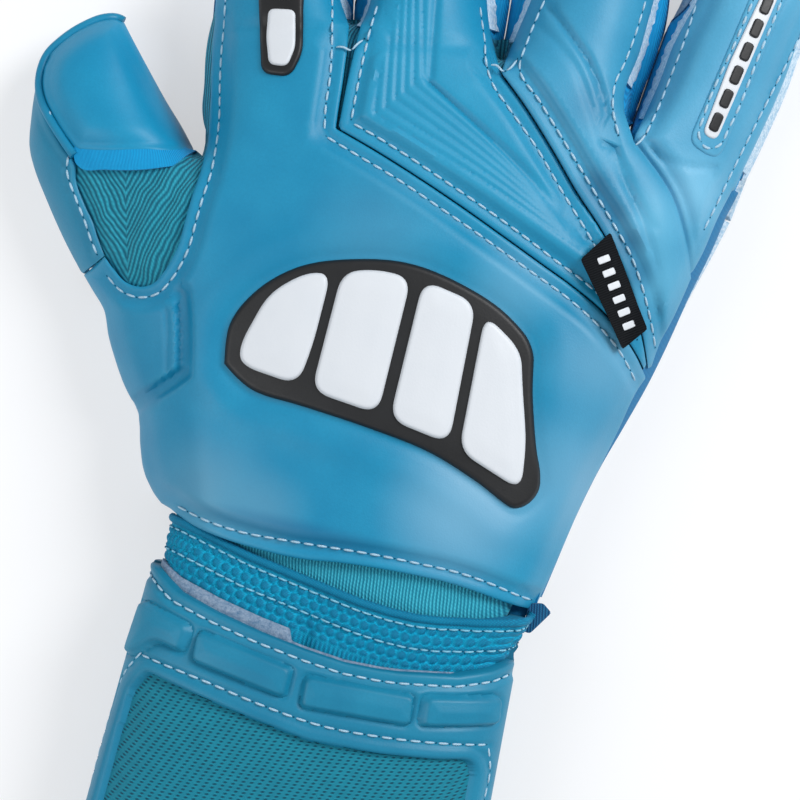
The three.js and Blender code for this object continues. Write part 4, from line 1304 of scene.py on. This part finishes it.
lycra_edge = outline(
    curve([(-89.4, 41), (-88, 37.6), (-86.5, 36.7), (-80.8, 37.5), (-71.8, 39.4), (-64.9, 41.9)]),
    curve([(-64, 43), (-61.4, 47.6)]),
    curve([(-64.4, 47.6), (-76, 45), (-88, 42.4)]),
)
thumb_lycra = slab("thumb_lycra_strip", lycra_edge, under(0.4), under(3.2), LYCRA)
declare(thumb_lycra, bend="thumb")

WRAP_IN = curve([
    (-102.3, 59.4), (-99.9, 50.6), (-97.3, 46.6), (-92.5, 41.3), (-88.2, 37.3), (-87.3, 33.8),
    (-83.9, 28.4), (-80.9, 24.6), (-79.2, 21.6), (-76.6, 17.7)])
wrap_line = outline(
    WRAP_IN,
    curve([(-77.6, 16.6), (-79.4, 14.8), (-81.9, 12.7)]),
    curve([
        (-82.6, 13), (-87.8, 19), (-94.8, 28.2), (-99.8, 35.5), (-101.5, 39), (-103, 47.1),
        (-103.6, 53.2), (-103.8, 59.2)]))


def wrap_top(points):
    """The foam's face, a little lower, with the dent of the seam beside the cap."""
    to_edge = distance(points, WRAP_IN)
    return height(points) + rounding(to_edge, 1.2, 0.9) - 0.4 * hump(to_edge - 2.4, 0.8) - 0.3


def wrap_bottom(points):
    """Down to the palm at the rim, and 3 mm below the foam's face elsewhere."""
    outer = distance(points, wrap_line, True) < 0.3
    near_rim = reach(points) < 2
    return np.where(outer & near_rim, PALM_TOP - 0.1, np.maximum(height(points) - 3, PALM_TOP))


wrap = slab("thumb_wrap_foam", wrap_line, wrap_top, wrap_bottom, WRAP_FOAM, FINE_ROWS, 1.1)
declare(wrap, ["thumb_wrap"], bend="thumb")
welt_line = curve([
    (-88.8, 39.3), (-92.8, 42.9), (-97.2, 47.2), (-100.4, 51), (-102.2, 55), (-102.6, 59.2), (-102.2, 62),
    (-99.4, 66.6), (-95, 71.2), (-90.4, 74.3), (-87.6, 75), (-86.2, 74.6)])
welt_cord = tube(np.column_stack([welt_line, height(welt_line) - 0.5]), 1.15)
declare(make("thumb_welt", *welt_cord, [THUMB_FOAM]), bend="thumb")

# %% [markdown]
# Under the thumb lie its own sheet of palm foam and a body of stretch cloth, which closes the
# gaps between cap, wrap and palm.

# %% Thumb palm
thumb_palm_line = outline(
    curve([
        (-62.6, 45.4), (-74.6, 56.8), (-86.6, 71.6), (-88.4, 73.4), (-91, 73.4), (-95.4, 71),
        (-99.8, 66.4), (-102.6, 62), (-103.4, 59.2), (-103.2, 53.2), (-102.6, 47.1), (-101.1, 38.8),
        (-99.3, 35.3), (-94.4, 27.9), (-87, 18.8), (-82.2, 14.4)], 1.5),
    curve([(-75, 17), (-66, 22.4), (-61.6, 27.2), (-60.6, 36)], 1.5))
declare(palm_sheet("thumb_palm_foam", thumb_palm_line, 3), ["thumb_palm"], bend="thumb")
thumb_body = slab("thumb_stretch_body", inset(thumb_palm_line, 0.9), under(2.7), floor_of(PALM_TOP), LYCRA,
                  pitch=2)
declare(thumb_body, bend="thumb")

# %% [markdown]
# The wrist is round where the hand is flat, so it is built about the arm, as flat ovals inside each
# other. A point on an oval is found from its share of the way round, its place along the arm and
# how far it grows beyond the inner sleeve. A bent plane would do too, but its edges would wander.

# %% Wrist ovals
CUFF_X, CUFF_Z = -4.0, 19.5
SLEEVE_HALF_HEIGHT = 13.2
SQUARENESS = 2.6
WIDTH_AT = ([-131, -54, -38, -24], [41.8, 38.5, 42.2, 42.8])


def squarish(wave):
    """A sine or a cosine, changed so that the circle it draws becomes a squarish oval."""
    return np.sign(wave) * np.abs(wave) ** (2 / SQUARENESS)


# shares of the way round are measured on one typical oval
angles = np.linspace(0, 2 * math.pi, 4001)
along_oval = lengths(np.stack([42 * squarish(np.cos(angles)), 16 * squarish(np.sin(angles))], 1))


def on_wrist(share, y, grow):
    """A point of the wrist: share runs anticlockwise from the little finger's side, 0.25 on top."""
    angle = np.interp(np.mod(share, 1) * along_oval[-1], along_oval, angles)
    x = CUFF_X + (np.interp(y, *WIDTH_AT) + grow) * squarish(np.cos(angle))
    return x, CUFF_Z + (SLEEVE_HALF_HEIGHT + grow) * squarish(np.sin(angle))


print("top of the wrist", [round(float(v), 1) for v in on_wrist(0.25, -60, 0)])

# %% [markdown]
# Shells. Each layer of the wrist is a closed sheet between two growths, with its own edge lines.
# Relief, such as the strap's blocks, only adds to the outer growth.

# %% Shell maker
def shell(name, grows, shares, high, low, finish, relief=None, steps=(220, 40)):
    """A closed shell of the wrist between two growths, two shares and two lines along the arm."""
    whole = abs(shares[1] - shares[0]) > 0.999
    u = np.linspace(shares[0], shares[1], steps[0] + 1)[: steps[0] if whole else None]
    v = np.linspace(0, 1, steps[1] + 1)
    x_here = on_wrist(u, np.full(len(u), -56.0), grows[1])[0]
    top, bottom = high(x_here), low(x_here)
    y = top[:, None] + (bottom - top)[:, None] * v[None]
    share = np.repeat(u[:, None], len(v), 1)
    lift = np.zeros_like(y)
    if relief is not None:
        flat_x, flat_z = on_wrist(share, y, grows[1])
        lift = relief(flat_x.ravel(), y.ravel(), flat_z.ravel()).reshape(y.shape)
    ends = np.minimum(v, 1 - v)[None] * np.abs(bottom - top)[:, None]
    lift = lift - 0.5 * (1 - np.clip(ends / 0.7, 0, 1)) ** 2
    out_x, out_z = on_wrist(share, y, grows[1] + lift)
    in_x, in_z = on_wrist(share, y, grows[0])
    count = y.size
    points = np.stack([[out_x, y, out_z], [in_x, y, in_z]]).transpose(0, 2, 3, 1).reshape(-1, 3)
    rows, columns = y.shape
    faces = []
    for i in range(rows if whole else rows - 1):
        a, b = i * columns, ((i + 1) % rows) * columns
        for j in range(columns - 1):
            faces.append((a + j, a + j + 1, b + j + 1, b + j))
            faces.append((count + a + j, count + b + j, count + b + j + 1, count + a + j + 1))
        for j, flip in ((0, False), (columns - 1, True)):
            wall = (a + j, b + j, count + b + j, count + a + j)
            faces.append(wall[::-1] if flip else wall)
    if not whole:
        for i, flip in ((0, True), (rows - 1, False)):
            a = i * columns
            for j in range(columns - 1):
                wall = (a + j, a + j + 1, count + a + j + 1, count + a + j)
                faces.append(wall[::-1] if flip else wall)
    return make(name, points, faces, [finish])


def level_line(y):
    """An edge line straight across the arm."""
    return lambda x: np.full(np.shape(x), float(y))


corner_line = outline([(36, -36), (43.4, -37), (43.1, -40.3), (41.3, -41.3), (41, -46), (36, -46)])
corner = slab("wrist_corner_mesh", corner_line, floor_of(17.2), floor_of(PALM_TOP), LYCRA_DARK,
              rows=(0.5,), pitch=2)
declare(corner)
sleeve = shell("wrist_mesh_sleeve", (-1.2, 0), (0, 1), level_line(-27), level_line(-54), WRIST_KNIT)
declare(sleeve, ["wrist_mesh"])
bandage = shell("wrist_bandage", (-1.4, 0), (0, 1), level_line(-54.3), level_line(-131), WEBBING,
                steps=(160, 60))
declare(bandage, ["wrist_sleeve"])

# %% [markdown]
# The elastic. Its outer face is a field of small domes in staggered rows, and its lower edge is a
# plain woven tape. A folded cord edge runs along its top with two rows of stitches below it. On
# the back of the hand the edge dips, so that the mesh shows between it and the main panel.

# %% Elastic
ELASTIC_TOP = ([-60, -48, -44, -38, -26, -10, 1.4, 9, 15.7, 22, 29.4, 36, 44, 60],
               [-38.7, -38.8, -39.2, -40.4, -43.2, -45.8, -47.6, -48.3, -48.4, -47.8, -46.4, -44.5, -41.4,
                -41.4])
DOME = 2.5
ELASTIC_GROWTH = 2.5
# a level above the elastic's top side, for relief that asks where a point is
ELASTIC_OVER = 33.0


def elastic_top(x):
    """The edge of the elastic, as a place along the arm."""
    return np.interp(x, *ELASTIC_TOP)


def elastic_relief(x, y, z):
    """Staggered domes, a smooth tape below them and dents under the two rows of stitches."""
    below = elastic_top(x) - y
    round_it = x + np.where(np.abs(x - CUFF_X) > 36, 1.0, 0.0) * (z - CUFF_Z)
    row = np.floor(below / (DOME * 0.866))
    cell_y = np.mod(below, DOME * 0.866) - DOME * 0.433
    cell_x = np.mod(round_it + row * DOME / 2, DOME) - DOME / 2
    dome = np.sqrt(np.clip(1 - (cell_x**2 + cell_y**2 * 1.15) / 1.5, 0, 1))
    domed = step_up(below, 2.2, 3) * (1 - step_up(below, 11.8, 12.6))
    tape = 0.16 * np.sin(round_it * 2 * math.pi / 1.1) * step_up(below, 12.4, 13)
    tuck = -1.7 * (1 - step_up(below, 0, 9)) * step_up(-x, -4, 20)
    sag = -1.3 * hump(x - 20, 17) * hump(below, 5) * (z > CUFF_Z)
    flare = 3.0 * step_up(x, 24, 38) * step_up(y, -62, -46)
    fold = -1.5 * hump(x + 9.6, 2.4) * step_up(-y, 52, 58) * (z > CUFF_Z)
    return domed * (dome * 0.85 - 0.4) + tape - 0.45 * hump(below - 7.8, 0.55) + tuck + sag + flare + fold


elastic_band = shell("wrist_elastic_band", (0.3, ELASTIC_GROWTH), (0, 1), elastic_top, level_line(-64),
                     ELASTIC, elastic_relief, steps=(560, 62))
declare(elastic_band, ["wrist_elastic"])


def on_elastic(x, below, lift):
    """A point on the top of the elastic, some way below its edge."""
    y = elastic_top(x) - below
    share = np.linspace(0.0, 0.5, 800)
    xs = on_wrist(share, np.full(len(share), -48.0), ELASTIC_GROWTH)[0]
    at = np.interp(-x, -xs, share)
    grow = ELASTIC_GROWTH + elastic_relief(x, y, np.full(len(x), ELASTIC_OVER)) + lift
    px, pz = on_wrist(at, y, grow)
    return np.column_stack([px, y, pz])


edge_x = np.linspace(-47.5, 42.5, 120)
edge_cord = tube(on_elastic(edge_x, 0.6, 0.1), 1.0)
declare(make("elastic_edge_cord", *edge_cord, [ELASTIC]), ["elastic_binding"])
fine_x = np.linspace(-46.5, 41.5, 260)
elastic_bars = bars_along(on_elastic(fine_x, 2.6, 0.25), 2.8, 2.4)
elastic_bars += bars_along(on_elastic(fine_x, 7.8, 0.3), 3.2, 2.5)
declare(bars_and_holes("elastic_stitches", elastic_bars, 0.22, THREAD_CYAN))

# %% [markdown]
# The strap closes over the wrist. Its cover has a sewn lip, four raised blocks above a window of
# mesh, and a rolled border round that window. The band under the arm is plain foam. The cover
# opens about its thumb side, so cover, window, felt and hook tape ride on the strap's body.

# %% Strap lines
STRAP_TOP = ([-60, -50, -45, -41.7, -31.6, -20.3, -8.3, 1.3, 9.4, 14.3, 27.9, 36.2, 41, 60],
             [-50, -50.4, -53.6, -55.4, -57.8, -59.9, -61.6, -62.5, -62.3, -61.9, -59.9, -57.2, -54.6, -54])
STRAP_BLOCKS = [
    rounded([(-48.6, -59.5), (-35, -62.3), (-35.6, -69.2), (-42.2, -67.8), (-47.6, -73.4), (-50, -73)], 2.2),
    rounded([(-33.4, -62.6), (-10, -66.2), (-10.2, -73.8), (-33.4, -70.3)], 2.0),
    rounded([(-7.2, -67.1), (18.4, -66), (19.2, -73.6), (-6.9, -74.9)], 2.0),
    rounded([(20.4, -65.8), (38.6, -62.6), (39.4, -69.6), (21, -73.2)], 2.0),
]
WINDOW = rounded([
    (-46.8, -80.6), (-43.8, -75.6), (-30.7, -77.9), (-16, -80.4), (-3, -82.2), (13.9, -81.6), (27.4, -80),
    (35, -78.8), (37, -81.4), (37.4, -90), (38.4, -120), (36, -122.5), (-4, -123.5), (-46, -122.5),
    (-49, -120), (-48, -95)], 1.6, 0.7)
BORDER_STITCH = curve([
    (-45.9, -72.2), (-28.9, -74.2), (-16.5, -76.2), (-0.2, -77.9), (12.9, -77.4), (27.5, -76),
    (38.2, -74.6)])
STRAP_GROWTH = 6.3
STRAP_OVER = 36.0


def strap_top(x):
    """The upper edge of the strap, as a place along the arm."""
    return np.interp(x, *STRAP_TOP)


def groove(d):
    """A shallow pressed line."""
    return 0.35 * hump(d, 0.7)


def strap_relief(x, y, z):
    """Lip, blocks and border, pressed into the top of the cover only."""
    flat = np.stack([x, y], 1)
    below = strap_top(x) - y
    top = z > CUFF_Z + 4
    lift = -groove(below - 2.5) + 0.5 * step_up(below, 3, 4.5)
    raised = np.zeros(len(x))
    for edge in STRAP_BLOCKS:
        near = np.where(top, inside(flat, edge), False)
        d = distance(flat[near], edge, True) if near.any() else np.zeros(0)
        raised[near] = 1.35 * step_up(d, -0.2, 1.1) + 0.3 * step_up(d, 0.8, 4)
        out = ~near & top
        lift[out] -= 0.5 * hump(distance(flat[out], edge, True), 0.7)
    to_window = distance(flat, WINDOW, True)
    within = inside(flat, WINDOW) & top
    lift -= groove(to_window - 3.2) * (top & ~within)
    lift -= groove(distance(flat, BORDER_STITCH)) * top
    lift -= 0.9 * (1 - np.clip(to_window / 1.1, 0, 1)) ** 2 * ~within
    lift = np.where(within, -2.0, lift)
    return (lift + raised) * step_up(z, CUFF_Z, CUFF_Z + 3)


STRAP_END = -131.0
cover = shell("strap_cover_foam", (2.9, STRAP_GROWTH), (0.0, 0.5), strap_top, level_line(STRAP_END),
              STRAP_FOAM, strap_relief, steps=(250, 190))
declare(cover, ["strap_cover"], body="strap")


def band_relief(x, y, z):
    """A groove along the band's sewn edge, and a thinner lip above it."""
    return -groove(-52.9 - y) - 0.4 * (1 - step_up(-53.4 - y, 0, 2))


band = shell("strap_band_foam", (2.8, STRAP_GROWTH), (0.502, 0.998), level_line(-50.6),
             level_line(STRAP_END), STRAP_FOAM, band_relief, steps=(120, 100))
declare(band, ["strap_band"])

# %% [markdown]
# The window's mesh is a thin sheet set into the cover, and slightly full, as knit is when it is
# sewn into a frame. Felt lines the whole cover and peeps out above it, most of all on its thumb half.

# %% Window mesh, felt and tapes
def strap_face(points, grow):
    """Level of the strap's growth over plan points on its top side."""
    half = np.interp(points[:, 1], *WIDTH_AT) + grow
    u = np.clip(np.abs(points[:, 0] - CUFF_X) / half, 0, 1)
    return CUFF_Z + (SLEEVE_HALF_HEIGHT + grow) * (1 - u**SQUARENESS) ** (1 / SQUARENESS)


def window_top(points):
    """A mesh that is half a millimetre fuller in its middle than at its frame."""
    full = step_up(distance(points, WINDOW, True), 0, 9)
    return strap_face(points, 4.9) + 0.5 * full


window_mesh = slab("strap_window_knit", WINDOW, window_top, lambda points: strap_face(points, 4.2),
                   WINDOW_KNIT, rows=(0.5, 1.2), pitch=1.0)
declare(window_mesh, ["strap_window_mesh"], body="strap")


def felt_top(x):
    """Just past the strap's edge, and further past it on the thumb's half."""
    return strap_top(x) + 0.45 + 2.6 * (1 - step_up(x, -13.5, -12)) * step_up(x, -50, -47)


felt = shell("strap_felt_lining", (2.6, 3.8), (0.03, 0.498), felt_top, level_line(STRAP_END + 1), FELT,
             steps=(220, 60))
declare(felt, ["strap_felt"], body="strap")
hooks = shell("hook_tape", (2.0, 2.75), (0.09, 0.24), level_line(-66.5), level_line(-118), HOOK_TAPE,
              steps=(60, 50))
declare(hooks, ["hook_patch"], body="strap")
loops = shell("loop_tape", (0.1, 1.2), (0.09, 0.24), level_line(-66.5), level_line(-118), LOOP_FELT,
              steps=(60, 50))
declare(loops, ["loop_patch"])

# %% [markdown]
# The strap's seams: one along its lip, one along the blocks and one down each side of the window.
# Each is a line in plan that is lifted on to the strap's face, so the bars lie in their grooves.

# %% Strap stitches
def on_strap(line):
    """A plan line lifted on to the face of the strap."""
    z = strap_face(line, STRAP_GROWTH) + strap_relief(*line.T, np.full(len(line), STRAP_OVER))
    return np.column_stack([line, z])


lip_x = np.linspace(-49, 39.8, 200)
lip_line = np.column_stack([lip_x, strap_top(lip_x) - 2.5])
window_left = curve([(-46, -71.6), (-48.8, -77), (-50.2, -84), (-51, -95), (-51.6, -122)])
window_right = curve([(38.6, -74.8), (40.3, -80), (40.6, -90), (41.2, -105), (41.6, -122)])
strap_bars = []
for line in (lip_line, BORDER_STITCH, window_left, window_right):
    strap_bars += bars_along(on_strap(line), 3.3, 2.6)
declare(bars_and_holes("strap_stitches", strap_bars, THREAD, THREAD_PALE), body="strap")

# %% [markdown]
# The seams of the back. Each line of stitches is given once in plan and laid on its own panel's top
# face, so it follows that panel's relief. Short rows of bars close the corners between the fingers.

# %% Panel stitches
MAIN_BOTTOM_STITCH = curve([
    (-46, -36.4), (-37.1, -38), (-29.2, -38.5), (-19.3, -38), (-9.5, -37.3), (-1.1, -36.7), (6.1, -36.4),
    (13.4, -36.3), (23.4, -36.4), (30.5, -37.3), (36.6, -38.6), (41.4, -39.6)])
MAIN_V_STITCH = [
    curve([
        (54, 17), (47.4, 23.4), (40.3, 28.3), (31.4, 32.9), (24.4, 35.7), (16.6, 38.8), (9.8, 41.6),
        (-2, 46.2), (-12.8, 50.3), (-24.2, 54), (-30.8, 56.2)]),
    curve([(-31.4, 57.4), (-32.4, 63), (-33, 70), (-34.4, 78), (-37.3, 90)]),
]
MAIN_LEFT_STITCH = curve([
    on_finger("index", 40, -11.6), (-63.7, 94), (-62.1, 84), (-61, 77), (-60.1, 70.7), (-58.8, 64),
    (-56.8, 55), (-56, 49.2), (-55.4, 42.3), (-55.9, 35.8), (-56.2, 29.4), (-56.4, 24.2),
    (-57.4, 19.6), (-59, 15.4), (-61.6, 11.6), (-66, 9.8), (-70.6, 10.4), (-75, 13.2)])
KNUCKLE_STITCH = [
    curve([(-26.2, 90), (-26.4, 81.8), (-26.3, 72), (-25.8, 61.3)]),
    curve([
        (-25.4, 60.6), (-20, 59), (-12.1, 56.3), (-2.3, 52.6), (10.1, 47.8), (20.3, 43.6),
        (27.9, 40.2), (35.9, 36.8), (44.6, 32), (51.6, 26.6)]),
    curve([
        (-2.6, 96), (-1.4, 92.5), (0.2, 88.1), (2.1, 81.5), (4.6, 77.2), (9.6, 72.4), (17.6, 65.2),
        (25.8, 56.6), (33.9, 48.4), (40, 41.6)]),
]
OUTER_STITCH = [
    curve([
        (12.2, 100.6), (11.4, 96.5), (10.3, 89.5), (10, 82), (16.2, 75.6), (23.8, 67.8), (32.6, 58.8),
        (39, 52.2), (45, 45.8), (49.8, 38.8), (54.2, 31), (56.8, 26)]),
    curve([(35.6, 106), (34.9, 97), (33.9, 90), (32.6, 84), (33.3, 78.1), (36, 72)]),
]
LITTLE_STITCH = [
    curve([(48, 108.9), (46.9, 98.6), (45.6, 89.7), (44.1, 81), (42.4, 74)]),
    curve([(76, 116), (73.4, 104), (70.6, 93), (67.6, 81), (65.4, 72), (63.4, 63), (61.6, 56)]),
]
PANEL_SEAMS = [("main", [MAIN_BOTTOM_STITCH, *MAIN_V_STITCH, MAIN_LEFT_STITCH], main_top, "index"),
               ("knuckle", KNUCKLE_STITCH, knuckle_top, "middle"),
               ("outer", OUTER_STITCH, outer_top, "ring"),
               ("little", LITTLE_STITCH, little_top, "little")]
for panel, lines, face, digit in PANEL_SEAMS:
    declare(sew(panel + "_stitches", lines, face), bend=digit)
INSERT_STITCH = curve(on_digit("little", [
    (48, -1.6), (30, -1.6), (12, -1.6), (6.4, -0.6), (4.9, 1.8), (6.4, 4.4), (12, 5.2), (30, 4.9),
    (48, 4.7)]))
declare(sew("insert_stitches", [INSERT_STITCH], lambda points: little_top(points) + 0.5, 3.2, 2.4, 0.3),
        bend="little")
WRAP_STITCH = curve([
    (-97.8, 49), (-94.8, 44.6), (-90.6, 40.6), (-89.9, 35.6), (-86.2, 29.4), (-82.8, 24.4), (-80.4, 20.4),
    (-78.4, 17.6)])
declare(sew("wrap_stitches", [WRAP_STITCH], wrap_top), bend="thumb")

CROTCH_BARS = {"middle": [(-33.3, 77.4), (-31.6, 77.7), (-29.7, 77.3), (-28.7, 78.9), (-27.4, 80.6)],
               "ring": [(2.8, 81.6), (4.6, 81.8), (6.1, 80.7), (7.3, 81.4), (9, 84.7)],
               "little": [(35, 71.6), (37.5, 71), (39.6, 70.2), (41.2, 71.8), (42.6, 74.6)]}
for digit, corners in CROTCH_BARS.items():
    declare(sew(digit + "_crotch_stitches", [curve(corners)], under(-0.35), 3.8, 3.6),
            bend=digit)

# %% [markdown]
# The woven label is folded into the seam and stands a little proud of it. It carries plain dashes.
# The pull tab at the wrist is a folded tape.

# %% Label and tab
LABEL_EDGE = rounded([(39.2, 49.4), (33.7, 41.5), (48.4, 23.4), (53.1, 29.4)], 0.5, 0.6)
LABEL_MIDDLE = np.array((43.8, 36.0))
DASH = ((-0.8, -1.5), (0.8, -1.5), (0.8, 1.5), (-0.8, 1.5))
# a point of the fold, and the directions along it and away from it
LABEL_FOLD = (46.2, 39.4)
LABEL_U = np.array((13.9, -20.0)) / np.hypot(13.9, 20.0)
LABEL_V = np.array((LABEL_U[1], -LABEL_U[0]))


def label_top(points):
    """Above the panel, low along the fold, with a curl that lifts the free edge."""
    from_fold = (points - LABEL_FOLD) @ LABEL_V
    curl = 0.9 * step_up(from_fold, 3, 9) + 0.3 * hump(from_fold - 1.4, 2.0)
    return np.maximum(height(points) + 0.7 + 1.2 * step_up(from_fold, 0.4, 4), 29.6) + 0.7 + curl


label = slab("woven_label_fold", LABEL_EDGE, label_top, lambda points: label_top(points) - 1.0, LABEL,
             rows=(0.2, 0.5, 1), pitch=0.9)
declare(label, ["woven_label"], body="label")
for k in range(6):
    centre = LABEL_MIDDLE + LABEL_U * (k - 2.5) * 3.3
    edge = rounded([centre + LABEL_U * a + LABEL_V * b for a, b in DASH], 0.3, 0.3)
    dash = plate(f"label_dash_{k + 1}", edge, label_top, -0.2, 0.16, WHITE_RUBBER, 0.1, pitch=0.8)
    declare(dash, body="label")
tab_edge = rounded([(41.2, -40.6), (44.6, -39.9), (46.9, -41.6), (42.9, -47.6), (41.2, -47.4)], 0.6)
tab = slab("pull_tab_tape", tab_edge, lambda points: 19.2 + 0.5 * hump(points[:, 0] - 44, 2),
           floor_of(16.9), TAB, rows=(0.3, 0.7))
declare(tab, ["pull_tab"], body="tab")

# %% [markdown] The last cell lists the frame's solids that are still showing.

# %% Solids left showing
print("left showing", [name for name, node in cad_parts.items() if not node.hide_render])
